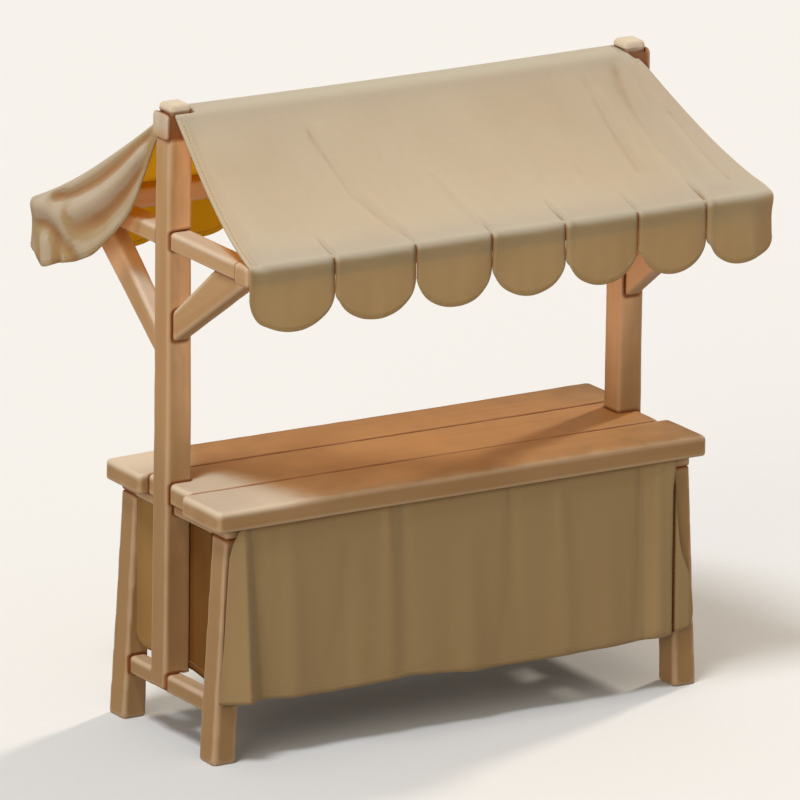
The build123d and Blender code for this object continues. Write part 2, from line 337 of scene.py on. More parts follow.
@dataclass(frozen=True)
class ClothFinish:
    """Woven canvas, with painted light where it faces up or down and on fold crests, painted shade in its
    valleys, along the slits and near timber, random stains and a sewn hem.
    """

    name: str
    body: Colour
    bleached_and_lit: Colour
    shade: Colour
    stain_and_shade: Colour
    glow: Colour
    glow_share: float = 0.28
    roughness: float = 0.85
    thread_pitch: float = 0.0042
    sheen: float = 0.12
    seam_share: float = 0.22

    def material(self) -> bpy.types.Material:
        """Build the material from the cloth's UV map and its fold and hem attributes.

        Returns:
            The cloth material.
        """
        specular = 0.05 + self.sheen
        graph = Graph(self.name, self.roughness, Specular_IOR_Level=specular, Sheen_Weight=self.sheen)
        uv = graph.node("ShaderNodeUVMap", {"uv_map": "cut"}).outputs["UV"]
        place = graph.node("ShaderNodeTexCoord").outputs["Object"]
        blotch = graph.noise(place, 3.1, 3.0) - 0.5
        tone = graph.noise(place, 1.3, 2.0)
        slub = graph.noise(graph.stretch(uv, (9.0, 150.0, 1.0)), 1.0, 2.0) * 0.5
        slub = slub + graph.noise(graph.stretch(uv, (150.0, 9.0, 1.0)), 1.0, 2.0) * 0.5
        pulled = graph.noise(graph.stretch(uv, (16.0, 1.6, 1.0)), 1.0, 2.0)
        fold, hem = graph.attribute("fold"), graph.attribute("hem")
        colour = self.body
        for number, tint in (
            # Painted light: paler on faces that point up or down.
            (graph.attribute("sky") + blotch * 0.22, Tint(self.bleached_and_lit, share=1.0, start=0.05, full=0.62)),
            (tone, Tint(self.shade, share=0.12, start=0.45, full=0.70)),
            (pulled, Tint(self.shade, share=0.04, start=0.54, full=0.78)),
            (slub, Tint(self.shade, share=0.06, start=0.40, full=0.62)),
            # Painted shade in fold valleys.
            (fold, Tint(self.shade, share=0.72, start=-0.10, full=-1.0)),
            # Painted highlight on fold crests.
            (fold, Tint(self.bleached_and_lit, share=0.75, start=0.1, full=0.9)),
            # Painted shade near timber and in drape creases, with random stains.
            (graph.attribute("rub") + blotch * 0.3, Tint(self.stain_and_shade, share=0.92, start=0.10, full=0.95)),
            # Painted shade along the slits of the flaps.
            (hem, Tint(self.stain_and_shade, share=0.75, start=-0.05, full=-0.9)),
        ):
            colour = tint.over(graph, number, colour)
        seam = graph.level(hem, 0.011, 0.014) * graph.level(hem, 0.018, 0.0145)
        colour = graph.mix(seam * self.seam_share, colour, self.shade)
        threads = 2.0 * math.pi / self.thread_pitch
        warp = self._threads(graph, uv, (threads, 0.0, 0.0))
        weft = self._threads(graph, uv, (0.0, threads, 0.0))
        hem_rise = graph.level(hem, 0.016, 0.010)
        height = warp * weft * 0.10 + slub * 0.40 + hem_rise * 0.5
        graph.bump(height, 0.0016, 0.6)
        return graph.finish(colour, self.glow, self.glow_share)

    def _threads(self, graph: Graph, uv: bpy.types.NodeSocket, turns: Colour) -> Wire:
        """Wave from -1 to 1 across one set of threads."""
        along = graph.node("ShaderNodeVectorMath", {"operation": "DOT_PRODUCT"}, {0: uv, 1: turns})
        wave = graph.node("ShaderNodeMath", {"operation": "SINE"}, {0: along.outputs["Value"]})
        return Wire(graph, wave.outputs[0])


@dataclass(frozen=True)
class PlainFinish:
    """Even matt surface for stitches and the studio."""

    name: str
    colour: Colour
    roughness: float = 0.9
    indirect: float = 1.0

    def material(self) -> bpy.types.Material:
        """Build the material, which can send less light on to its surroundings than it shows.

        Returns:
            The matt material.
        """
        graph = Graph(self.name, self.roughness, Specular_IOR_Level=0.1)
        place = graph.node("ShaderNodeTexCoord").outputs["Object"]
        speck = graph.noise(place, 40.0, 2.0)
        darker = tuple(0.96 * part for part in self.colour)
        colour = graph.mix(speck, self.colour, darker)
        if self.indirect < 1.0:
            rays = graph.node("ShaderNodeLightPath").outputs
            seen = Wire(graph, rays["Is Camera Ray"]) + Wire(graph, rays["Is Glossy Ray"])
            seen = graph.level(seen + Wire(graph, rays["Is Transmission Ray"]), 0.0, 1.0)
            dim = tuple(self.indirect * part for part in self.colour)
            colour = graph.mix(seen, dim, colour)
        return graph.finish(colour)


TIMBER = WoodFinish()
CANVAS = ClothFinish(
    name="canopy_canvas",
    body=(0.355, 0.295, 0.165),
    bleached_and_lit=(0.515, 0.495, 0.395),
    shade=(0.33, 0.185, 0.085),
    stain_and_shade=(0.30, 0.13, 0.04),
    glow=(0.98, 0.64, 0.18),
    glow_share=0.23,
)
# Underside of the canopy: its strong orange is painted glow of light through the canvas, on top of the real
# translucency.
CANVAS_UNDERSIDE_GLOW = ClothFinish(
    name="canopy_underside_painted_glow",
    body=(1.0, 0.61, 0.04),
    bleached_and_lit=(1.0, 0.62, 0.05),
    shade=(0.55, 0.20, 0.01),
    stain_and_shade=(0.45, 0.15, 0.01),
    glow=(1.0, 0.72, 0.04),
    glow_share=0.78,
)
DRAPERY = ClothFinish(
    name="drape_canvas",
    body=(0.37, 0.252, 0.12),
    bleached_and_lit=(0.48, 0.40, 0.25),
    shade=(0.27, 0.15, 0.06),
    stain_and_shade=(0.13, 0.042, 0.007),
    glow=(0.60, 0.35, 0.10),
    glow_share=0.10,
)
# Darker copy of the drape canvas for the side drapes: painted shade.
SHADED_DRAPERY = replace(
    DRAPERY, name="shaded_drape_canvas", body=(0.38, 0.225, 0.085), stain_and_shade=(0.15, 0.048, 0.006), sheen=0.0
)
THREAD = PlainFinish("hem_thread", (0.34, 0.26, 0.145))
FLOOR = PlainFinish("studio_floor", (0.71, 0.72, 0.735), indirect=0.50)


# Mesh helpers


def noise_at(points: np.ndarray, scale: float | Sequence[float], seed: float) -> np.ndarray:
    """Smooth noise at each point.

    Args:
        points: Places, one row each.
        scale: Waves per metre, the same or one for each axis.
        seed: Number that picks the noise.

    Returns:
        Values from about -1 to 1.
    """
    moved = points * np.asarray(scale) + np.array([seed, 1.7 * seed, -0.9 * seed])
    return np.array([noise.noise(Vector(place)) for place in moved])


def grid(*parts: np.ndarray | float) -> np.ndarray:
    """Coordinates that spread over the same rows and columns, joined to points."""
    return np.stack(np.broadcast_arrays(*parts), axis=2)


def grid_noise(
    across: np.ndarray, down: np.ndarray, scale: float | Sequence[float], seed: float
) -> np.ndarray:
    """Smooth noise over the rows and columns of a sheet.

    Args:
        across: First coordinate of each place.
        down: Second coordinate of each place.
        scale: Waves per metre, the same or one for each axis.
        seed: Number that picks the noise.

    Returns:
        Values from about -1 to 1, by row and column.
    """
    places = grid(across, down, 0.0)
    return noise_at(places.reshape(-1, 3), scale, seed).reshape(places.shape[:2])


def smooth_step(value: np.ndarray | float, low: float, high: float) -> np.ndarray | float:
    """Smooth rise from 0 at low to 1 at high."""
    share = np.clip((value - low) / (high - low), 0.0, 1.0)
    return share * share * (3.0 - 2.0 * share)


def mesh_arrays(mesh: bpy.types.Mesh) -> tuple[np.ndarray, np.ndarray]:
    """Points and edges of a mesh as arrays."""
    points = np.zeros(len(mesh.vertices) * 3)
    mesh.vertices.foreach_get("co", points)
    edges = np.zeros(len(mesh.edges) * 2, dtype=np.int32)
    mesh.edges.foreach_get("vertices", edges)
    return points.reshape(-1, 3), edges.reshape(-1, 2)


def neighbour_mean(values: np.ndarray, edges: np.ndarray) -> np.ndarray:
    """Mean of each point's neighbours."""
    total = np.zeros_like(values)
    np.add.at(total, edges[:, 0], values[edges[:, 1]])
    np.add.at(total, edges[:, 1], values[edges[:, 0]])
    count = np.maximum(np.bincount(edges.ravel(), minlength=len(values)), 1.0)
    return total / (count[:, None] if values.ndim == 2 else count)


def relax(values: np.ndarray, edges: np.ndarray, rounds: int, hold: np.ndarray | None = None) -> np.ndarray:
    """Draw points towards their neighbours.

    Args:
        values: Points or numbers, one row each.
        edges: Pairs of neighbours.
        rounds: Number of passes.
        hold: Share of each move that a point makes, or None for all of it.

    Returns:
        The smoothed values.
    """
    for _ in range(rounds):
        move = 0.5 * (neighbour_mean(values, edges) - values)
        values = values + (move if hold is None else move * hold)
    return values


def round_arrises(points: np.ndarray, edges: np.ndarray, rounds: int, hold: np.ndarray) -> np.ndarray:
    """Smooth sharp arrises without drawing the flat faces in.

    Args:
        points: Points, one row each.
        edges: Pairs of neighbours.
        rounds: Number of passes.
        hold: Share of each move that a point makes.

    Returns:
        The rounded points.
    """
    for _ in range(rounds):
        points = points + 0.55 * hold * (neighbour_mean(points, edges) - points)
        points = points - 0.58 * hold * (neighbour_mean(points, edges) - points)
    return points


def store(mesh: bpy.types.Mesh, name: str, values: np.ndarray) -> None:
    """Store numbers or vectors on a mesh's points."""
    vector = values.ndim == 2
    layer = mesh.attributes.new(name, "FLOAT_VECTOR" if vector else "FLOAT", "POINT")
    layer.data.foreach_set("vector" if vector else "value", values.astype(np.float32).ravel())


def normals_of(mesh: bpy.types.Mesh) -> np.ndarray:
    """Normal of each point, one row each."""
    normals = np.zeros(len(mesh.vertices) * 3)
    mesh.vertices.foreach_get("normal", normals)
    return normals.reshape(-1, 3)


def bend_of(mesh: bpy.types.Mesh, size: float) -> np.ndarray:
    """How far each point stands out of its neighbours, 1 on a sharp crest and -1 in a crease."""
    points, edges = mesh_arrays(mesh)
    out = ((points - neighbour_mean(points, edges)) * normals_of(mesh)).sum(axis=1)
    return np.clip(relax(out, edges, 2) / size, -1.0, 1.0)


def move_points(mesh: bpy.types.Mesh, points: np.ndarray) -> None:
    """Put a mesh's points at new places."""
    mesh.vertices.foreach_set("co", points.ravel())
    mesh.update()


def shade_smooth(mesh: bpy.types.Mesh) -> None:
    """Shade all faces of a mesh smooth."""
    mesh.polygons.foreach_set("use_smooth", np.ones(len(mesh.polygons), dtype=bool))


def new_object(name: str, data: bpy.types.ID) -> bpy.types.Object:
    """Link an object with its data to the scene."""
    piece = bpy.data.objects.new(name, data)
    bpy.context.scene.collection.objects.link(piece)
    return piece


def baked(piece: bpy.types.Object) -> bpy.types.Object:
    """Turn the result of a piece's modifiers into its plain mesh."""
    graph = bpy.context.evaluated_depsgraph_get()
    graph.update()
    mesh = bpy.data.meshes.new_from_object(piece.evaluated_get(graph))
    piece.modifiers.clear()
    piece.data = mesh
    return piece


def register(piece: bpy.types.Object, slot: str, *nodes: str) -> None:
    """Put a finished piece on the frame in place of CAD nodes, and log it."""
    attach(piece, "root")
    if nodes:
        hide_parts(*nodes)
    log.info("%s: %d faces", piece.name, len(piece.data.polygons))


# Timbers


class Neighbours:
    """Surfaces of the CAD nodes, to find how near a piece's points are to others and what shades them."""

    rays_each: int = 4
    sky_seed: int = 5
    sky_lean: float = 0.6
    sky_rise: float = 0.30
    sky_turn: float = 1.1
    sky_gap: float = 0.012
    sun_seed: int = 8
    sun_direction: tuple[float, float, float] = (-0.36, -0.14, 0.92)
    sun_spread: float = 0.10
    sun_slope: float = 0.15
    sun_gap: float = 0.010

    def __init__(self) -> None:
        """Build a search tree and a box for each node."""
        self.trees: dict[str, BVHTree] = {}
        all_points: list[Vector] = []
        all_faces: list[tuple[int, ...]] = []
        for name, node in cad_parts.items():
            points = [vertex.co for vertex in node.data.vertices]
            faces = [tuple(polygon.vertices) for polygon in node.data.polygons]
            self.trees[name] = BVHTree.FromPolygons(points, faces)
            first = len(all_points)
            all_points += points
            all_faces += [tuple(first + index for index in face) for face in faces]
        self.whole = BVHTree.FromPolygons(all_points, all_faces)

    def _scattered(self, seed: int, count: int) -> np.ndarray:
        """Random directions, a few for each point."""
        return np.random.default_rng(seed).normal(size=(self.rays_each, count, 3))

    def _free_share(self, starts: np.ndarray, directions: np.ndarray, index: np.ndarray) -> np.ndarray:
        """Share of each chosen point's rays that meet no piece.

        Args:
            starts: Where the rays start, one row for each point.
            directions: Their directions, in sets of one row for each point.
            index: Numbers of the chosen points.

        Returns:
            Shares from 0 to 1, with 0 for the points that aren't chosen.
        """
        free = np.zeros(len(starts))
        for rays in directions:
            for point in index:
                if self.whole.ray_cast(Vector(starts[point]), Vector(rays[point]))[0] is None:
                    free[point] += 1.0 / len(directions)
        return free

    def openness(self, points: np.ndarray, normals: np.ndarray) -> np.ndarray:
        """Share of the sky that each point sees past the pieces.

        Args:
            points: Places, one row each.
            normals: Normals there.

        Returns:
            Shares from 0 to 1.
        """
        scattered = self._scattered(self.sky_seed, len(points))
        scattered /= np.linalg.norm(scattered, axis=2, keepdims=True)
        rays = self.sky_lean * normals + scattered
        rays[:, :, 2] = np.abs(rays[:, :, 2]) + self.sky_rise
        inward = np.minimum((rays * normals).sum(axis=2), 0.0)
        rays -= self.sky_turn * inward[:, :, None] * normals
        return self._free_share(points + self.sky_gap * normals, rays, np.arange(len(points)))

    def sunlight(self, points: np.ndarray, normals: np.ndarray) -> np.ndarray:
        """How much sun reaches each point that faces up.

        Args:
            points: Places, one row each.
            normals: Normals there.

        Returns:
            Numbers from 0 to 1.
        """
        rays = np.array(self.sun_direction) + self.sun_spread * self._scattered(self.sun_seed, len(points))
        index = np.flatnonzero(normals[:, 2] > self.sun_slope)
        free = self._free_share(points + self.sun_gap * normals, rays, index)
        return np.maximum(normals[:, 2], 0.0) ** 0.5 * free

    def nearness(self, name: str, points: np.ndarray, reach: float, skipped: Sequence[str]) -> np.ndarray:
        """Nearness of each point to the nearest other piece.

        Args:
            name: Node that the points belong to.
            points: Places, one row each.
            reach: Distance at which nearness falls to 0.
            skipped: Words in the names of pieces that don't count.

        Returns:
            Numbers from 0, out of reach, to 1, touching.
        """
        low, high = points.min(axis=0) - reach, points.max(axis=0) + reach
        near = np.zeros(len(points))
        for other, tree in self.trees.items():
            if other == name or any(word in other for word in skipped):
                continue
            other_low, other_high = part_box(other)
            if any(other_low[axis] > high[axis] or other_high[axis] < low[axis] for axis in range(3)):
                continue
            inside = np.all(points > np.array(other_low) - reach, axis=1)
            inside &= np.all(points < np.array(other_high) + reach, axis=1)
            for index in np.flatnonzero(inside):
                distance = tree.find_nearest(Vector(points[index]), reach)[3]
                if distance is not None:
                    near[index] = max(near[index], 1.0 - distance / reach)
        return near


@dataclass
class Timbers:
    """All timbers of the stall, each softened and dressed from its CAD solid."""

    neighbours: Neighbours
    voxel: float = 0.0065
    rounding_passes: int = 26
    swell: float = 0.0026
    hollow: float = 0.0014
    dent: float = 0.0010
    wave: float = 0.0050
    touch_reach: float = 0.012
    joint_reach: float = 0.023
    arris_size: float = 0.0007
    head_narrowing: float = 0.11
    head_dome: float = 0.016
    narrowing_z: tuple[float, float] = (2.15, 2.20)
    dome_z: tuple[float, float] = (2.222, 2.245)
    ridge_wear_start: float = 0.960
    ridge_wear: float = 0.5

    def build(self) -> None:
        """Dress every node that isn't cloth."""
        finish = TIMBER.material()
        for index, (name, node) in enumerate(sorted(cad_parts.items())):
            if any(word in name for word in CLOTH_WORDS):
                continue
            piece = self._softened(name, node, seed=3.1 * index)
            piece.data.materials.clear()
            piece.data.materials.append(finish)
            register(piece, "timber", name)

    def _softened(self, name: str, node: bpy.types.Object, seed: float) -> bpy.types.Object:
        """Remesh a timber finely, round its arrises and hollow its faces a little.

        Args:
            name: Name of the node.
            node: Its object.
            seed: Number that picks the unevenness.

        Returns:
            The worn timber.
        """
        shell = bmesh.new()
        shell.from_mesh(node.data)
        bmesh.ops.remove_doubles(shell, verts=shell.verts, dist=1e-5)
        mesh = bpy.data.meshes.new(f"{name}_worn")
        shell.to_mesh(mesh)
        shell.free()
        shade_smooth(mesh)
        piece = new_object(f"{name}_worn", mesh)
        remesh = piece.modifiers.new("remesh", "REMESH")
        remesh.mode = "VOXEL"
        remesh.voxel_size = self.voxel
        baked(piece)
        mesh = piece.data
        points, edges = mesh_arrays(mesh)
        touching = self.neighbours.nearness(name, points, self.touch_reach, ())
        free = 1.0 - smooth_step(touching, 0.3, 0.85)
        points = round_arrises(points, edges, self.rounding_passes, 0.60 + 0.40 * free[:, None])
        move_points(mesh, points)
        normals = normals_of(mesh)
        slow = noise_at(points, 3.2, seed)
        quick = noise_at(points, 14.0, seed + 9.0)
        raised = (self.swell + slow * self.hollow + quick * self.dent) * free
        points = points + normals * raised[:, None]
        axes = np.linalg.svd(points - points.mean(axis=0), full_matrices=False)[2]
        drift = np.stack([noise_at(points, 1.7, seed + shift) for shift in (21.0, 33.0, 47.0)], axis=1)
        drift -= np.outer(drift @ axes[0], axes[0])
        points = points + drift * self.wave * (0.2 + 0.8 * free[:, None]) * 0.5
        points[:, 2] = np.maximum(points[:, 2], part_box(name)[0].z)
        # Where the key lamp's direction is clear and how much sky is seen: these drive painted light, glow
        # and shade in the wood's colour.
        store(mesh, "sun", relax(self.neighbours.sunlight(points, normals), edges, 16))
        store(mesh, "open", relax(self.neighbours.openness(points, normals), edges, 40))
        points = self._trimmed(name, points)
        move_points(mesh, points)
        normals = normals_of(mesh)
        store(mesh, "up", normals[:, 2])
        store(mesh, "grain", (points - points.mean(axis=0)) @ axes.T + seed)
        store(mesh, "arris", bend_of(mesh, self.arris_size))
        near = self.neighbours.nearness(name, points, self.joint_reach, CLOTH_WORDS)
        store(mesh, "joint", relax(near, edges, 1))
        return piece

    def _trimmed(self, name: str, points: np.ndarray) -> np.ndarray:
        """Narrow the post heads and draw the worn ridge ends in.

        Args:
            name: Name of the node.
            points: Its points, one row each, which are changed.

        Returns:
            The same points.
        """
        if name.endswith("_post"):
            low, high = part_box(name)
            middle = np.array([(low.x + high.x) / 2, (low.y + high.y) / 2])
            narrowing = 1.0 - self.head_narrowing * smooth_step(points[:, 2], *self.narrowing_z)
            points[:, :2] = middle + (points[:, :2] - middle) * narrowing[:, None]
            from_middle = np.abs(points[:, :2] - middle).max(axis=1) / (0.5 * (high.x - low.x))
            points[:, 2] -= self.head_dome * from_middle**3 * smooth_step(points[:, 2], *self.dome_z)
        if name == "ridge_beam":
            past = np.maximum(np.abs(points[:, 0]) - self.ridge_wear_start, 0.0)
            points[:, 0] -= np.sign(points[:, 0]) * past * self.ridge_wear
        return points


# Cloth


@dataclass(frozen=True)
class Fold:
    """Ridge or valley in cloth, along a line of places on the sheet."""

    line: tuple[tuple[float, float], ...]
    height: float
    width: float
    end_height: float | None = None
    end_width: float | None = None

    def lift(self, across: np.ndarray, down: np.ndarray) -> np.ndarray:
        """Height of the fold at places on the sheet.

        Args:
            across: First coordinate of each place.
            down: Second coordinate of each place.

        Returns:
            How far the cloth is lifted, or sunk where it is below 0.
        """
        last_height = self.height if self.end_height is None else self.end_height
        last_width = self.width if self.end_width is None else self.end_width
        nearest = np.full(across.shape, 1e9)
        travelled = np.zeros(across.shape)
        starts, ends = self.line[:-1], self.line[1:]
        lengths = [math.dist(start, end) for start, end in zip(starts, ends)]
        passed = 0.0
        for start, end, length in zip(starts, ends, lengths):
            step = ((end[0] - start[0]) / length, (end[1] - start[1]) / length)
            along = np.clip((across - start[0]) * step[0] + (down - start[1]) * step[1], 0.0, length)
            gap = np.hypot(across - start[0] - along * step[0], down - start[1] - along * step[1])
            closer = gap < nearest
            nearest = np.where(closer, gap, nearest)
            travelled = np.where(closer, passed + along, travelled)
            passed += length
        share = travelled / passed
        height = self.height + share * (last_height - self.height)
        width = self.width + share * (last_width - self.width)
        return height * np.exp(-((nearest / width) ** 2))


def total_lift(folds: Sequence[Fold], across: np.ndarray, down: np.ndarray) -> np.ndarray:
    """Sum of the lifts of several folds."""
    return sum((fold.lift(across, down) for fold in folds), np.zeros(across.shape))


@dataclass(frozen=True)
class Patch:
    """Grid of points with their places on the flat cloth and their distances to the nearest hem."""

    points: np.ndarray
    cut: np.ndarray
    hem: np.ndarray


class SheetBuilder:
    """Gathers the grids of one continuous sheet and makes its mesh."""

    def __init__(self) -> None:
        """Start an empty sheet."""
        self.points: list[np.ndarray] = []
        self.cut: list[np.ndarray] = []
        self.hem: list[np.ndarray] = []
        self.faces: list[tuple[int, ...]] = []
        self.count = 0

    def add(self, points: np.ndarray, cut: np.ndarray, hem: np.ndarray) -> np.ndarray:
        """Add a grid of points.

        Args:
            points: Places, by row and column.
            cut: Places on the flat cloth, by row and column.
            hem: Distance to the nearest hem, by row and column.

        Returns:
            The points' numbers, by row and column.
        """
        numbers = np.arange(hem.size).reshape(hem.shape) + self.count
        self.points.append(points.reshape(-1, 3))
        self.cut.append(cut.reshape(-1, 2))
        self.hem.append(hem.ravel())
        self.count += hem.size
        return numbers

    def fill(self, numbers: np.ndarray, flip: bool, skip: Callable[[int, int], bool] | None = None) -> None:
        """Add the faces of a grid of point numbers.

        Args:
            numbers: Point numbers by row and column.
            flip: Turn the faces over.
            skip: Tells which faces to leave open, by row and column.
        """
        for row in range(numbers.shape[0] - 1):
            for column in range(numbers.shape[1] - 1):
                if skip is not None and skip(row, column):
                    continue
                corners = (
                    int(numbers[row, column]),
                    int(numbers[row, column + 1]),
                    int(numbers[row + 1, column + 1]),
                    int(numbers[row + 1, column]),
                )
                self.faces.append(corners[::-1] if flip else corners)

    def mesh(
        self, name: str, smoothing: Callable[[np.ndarray], np.ndarray] | None = None, rounds: int = 0
    ) -> bpy.types.Mesh:
        """Make the sheet's mesh.

        Args:
            name: Name of the mesh.
            smoothing: Gives the share of smoothing at each place, or None for none.
            rounds: Number of smoothing passes.

        Returns:
            The mesh, with its UV map and attributes.
        """
        mesh = bpy.data.meshes.new(name)
        points = np.concatenate(self.points)
        mesh.from_pydata(points.tolist(), [], self.faces)
        mesh.update()
        shade_smooth(mesh)
        if smoothing is not None:
            points = relax(points, mesh_arrays(mesh)[1], rounds, hold=smoothing(points)[:, None])
            move_points(mesh, points)
        corners = np.zeros(len(mesh.loops), dtype=np.int32)
        mesh.loops.foreach_get("vertex_index", corners)
        layer = mesh.uv_layers.new(name="cut")
        layer.data.foreach_set("uv", np.concatenate(self.cut)[corners].astype(np.float32).ravel())
        store(mesh, "hem", np.concatenate(self.hem))
        # Bend and facing up or down: these drive painted highlight, painted shade and painted light in the
        # cloth's colour.
        store(mesh, "fold", bend_of(mesh, 0.0013))
        store(mesh, "sky", np.abs(normals_of(mesh)[:, 2]))
        return mesh


def sheet_area(mesh: bpy.types.Mesh) -> float:
    """Area of a sheet in square metres."""
    return sum(polygon.area for polygon in mesh.polygons)


def thicken(
    piece: bpy.types.Object, thickness: float, outside: bpy.types.Material, underside_material: bpy.types.Material
) -> None:
    """Give a sheet its thickness, half to each side, with a second material on its underside.

    Args:
        piece: Sheet whose faces point outwards.
        thickness: Thickness of the cloth.
        outside: Material of the upper side and the edges.
        underside_material: Material of the underside.
    """
    piece.data.materials.append(outside)
    piece.data.materials.append(underside_material)
    solid = piece.modifiers.new("thickness", "SOLIDIFY")
    solid.thickness = thickness
    solid.offset = 0.0
    solid.use_even_offset = False
    solid.material_offset = 1
    solid.material_offset_rim = 0
    baked(piece)
    shade_smooth(piece.data)


NO_HEM = 0.5


@dataclass
class CanopyCloth:
    """Cloth over ridge and purlins with scalloped flaps, and a swag at each free end."""

    flap_shares: tuple[float, ...] = (1.131, 1.072, 1.018, 0.984, 0.984, 0.930, 0.881)
    flap_slit: float = 0.002
    flap_overlap: float = 0.004
    flap_roll: float = 0.010
    flap_belly: float = 0.008
    flap_tilt: float = 0.004
    flap_sway: float = 0.008
    flap_ripple: float = 0.004
    flap_tuck: float = 0.003
    corner_tuck: float = 0.012
    slit_drop: float = 0.128
    outer_drop: float = 0.185
    flap_drop: float = 0.256
    flap_columns: int = 34
    crease_strengths: tuple[float, ...] = (0.8, 0.35, 0.7, 1.2, 0.6, 1.5)
    slope_rows: int = 46
    hang_rows: int = 18
    closed_rows: int = 4
    bend_radius: float = 0.021
    sag: float = 0.048
    ridge_droop: float = 0.005
    pull_height: float = 0.008
    ripple_height: float = 0.002
    rim_height: float = 0.007
    rim_width: float = 0.011
    groove_depth: float = 0.006
    groove_place: float = 0.040
    groove_width: float = 0.020
    ridge_half: float = 0.050
    post_gap: float = 0.866
    flush_ridge_end: float = 0.946
    free_edge_y: tuple[float, ...] = (0.050, 0.085, 0.164, 0.254, 0.356, 0.452, 0.529, 0.569)
    free_edge_x: tuple[float, ...] = (0.910, 0.928, 0.964, 1.008, 1.055, 1.099, 1.131, 1.138)
    free_end_fall: float = 0.026
    slope_folds: tuple[Fold, ...] = (
        Fold(
            ((-0.47, 0.17), (-0.443, 0.37), (-0.426, 0.56), (-0.375, 0.73), (-0.322, 0.93)),
            height=-0.0045, width=0.016, end_height=-0.0035, end_width=0.016,
        ),
        Fold(
            ((-0.43, 0.17), (-0.400, 0.37), (-0.383, 0.56), (-0.335, 0.73), (-0.29, 0.90)),
            height=0.004, width=0.028, end_height=0.003, end_width=0.024,
        ),
        Fold(((-0.86, 0.35), (-0.84, 0.60), (-0.80, 0.85)), -0.003, 0.022, -0.002, 0.024),
        Fold(((0.66, 0.12), (0.677, 0.28), (0.688, 0.50), (0.70, 0.70)), -0.004, 0.020, -0.004, 0.018),
        Fold(((0.70, 0.20), (0.715, 0.40), (0.74, 0.66)), 0.005, 0.024, 0.004, 0.028),
        Fold(((0.80, 0.08), (0.805, 0.30), (0.83, 0.60), (0.857, 0.80)), -0.006, 0.022, -0.004, 0.018),
        Fold(((0.86, 0.06), (0.90, 0.30), (0.94, 0.60), (0.96, 0.90)), 0.012, 0.030, 0.007, 0.045),
        Fold(((0.93, 0.35), (0.965, 0.53), (0.994, 0.71), (1.02, 0.86)), -0.005, 0.018, -0.005, 0.018),
        Fold(((0.35, 0.30), (0.333, 0.45), (0.32, 0.62)), 0.004, 0.016, 0.003, 0.018),
        Fold(((-0.075, 0.50), (-0.046, 0.64), (-0.023, 0.80), (-0.006, 0.94)), 0.003, 0.014, 0.006, 0.012),
        Fold(((0.48, 0.62), (0.49, 0.75)), -0.003, 0.018),
    )
    swag_folds: tuple[Fold, ...] = (
        Fold(((0.100, 2.115), (0.170, 2.045), (0.300, 1.930), (0.420, 1.865)), 0.008, 0.012, 0.012, 0.014),
        Fold(
            ((0.115, 2.105), (0.216, 2.002), (0.301, 1.921), (0.395, 1.862), (0.475, 1.828)),
            height=-0.034, width=0.017, end_height=-0.034, end_width=0.020,
        ),
        Fold(((0.130, 2.060), (0.205, 1.950), (0.290, 1.860), (0.380, 1.800)), 0.022, 0.018, 0.026, 0.034),
        Fold(((0.135, 2.000), (0.228, 1.862), (0.300, 1.782)), -0.026, 0.016, -0.020, 0.028),
        Fold(((0.130, 1.950), (0.180, 1.830), (0.260, 1.740), (0.350, 1.680)), 0.016, 0.020, 0.012, 0.034),
        Fold(
            ((0.565, 1.722), (0.520, 1.742), (0.480, 1.722), (0.430, 1.672), (0.390, 1.642)),
            height=-0.040, width=0.013, end_height=-0.010, end_width=0.018,
        ),
        Fold(((0.455, 1.770), (0.410, 1.705), (0.350, 1.660)), 0.014, 0.022, 0.008, 0.026),
        Fold(((0.505, 1.795), (0.540, 1.790)), 0.022, 0.036),
        Fold(((0.462, 1.700), (0.455, 1.590)), -0.020, 0.011),
        Fold(((0.500, 1.690), (0.497, 1.580)), 0.016, 0.020),
        Fold(((0.537, 1.690), (0.530, 1.590)), -0.010, 0.012),
    )
    swag_hem_y: tuple[float, ...] = (
        0.05, 0.089, 0.104, 0.129, 0.153, 0.196, 0.253, 0.310, 0.387, 0.464, 0.497, 0.530, 0.553, 0.57
    )
    swag_hem_z: tuple[float, ...] = (
        2.165, 2.082, 2.026, 1.939, 1.853, 1.774, 1.705, 1.646, 1.607, 1.588, 1.572, 1.576, 1.60, 1.64
    )
    thickness: float = 0.007
    slope_cloth: float = 0.66
    swag_cloth: float = 0.33
    smoothing_passes: int = 10

    def __post_init__(self) -> None:
        """Take the sizes that the frame gives."""
        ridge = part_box("ridge_beam")[1]
        purlin_low, purlin_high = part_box("front_purlin")
        lift = (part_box("canopy")[1].z - ridge.z) / 2 + 0.0005
        self.ridge_z = ridge.z + lift
        self.eave_z = purlin_high.z + lift
        self.eave_y = -purlin_low.y - 0.009
        self.flush_end = -purlin_low.x
        self.free_end = self.free_edge_x[-1]
        self.length = self.free_end + self.flush_end
        self.flap_count = len(self.flap_shares)

    def slope(self, share: np.ndarray) -> tuple[np.ndarray, np.ndarray]:
        """Curve of the cloth down a slope.

        Args:
            share: Shares of the way from the ridge to the eave.

        Returns:
            Distance from the middle and height.
        """
        out = self.ridge_half + share * (self.eave_y - self.ridge_half)
        height = self.ridge_z + share * (self.eave_z - self.ridge_z) - 4 * self.sag * share * (1 - share)
        return out, height

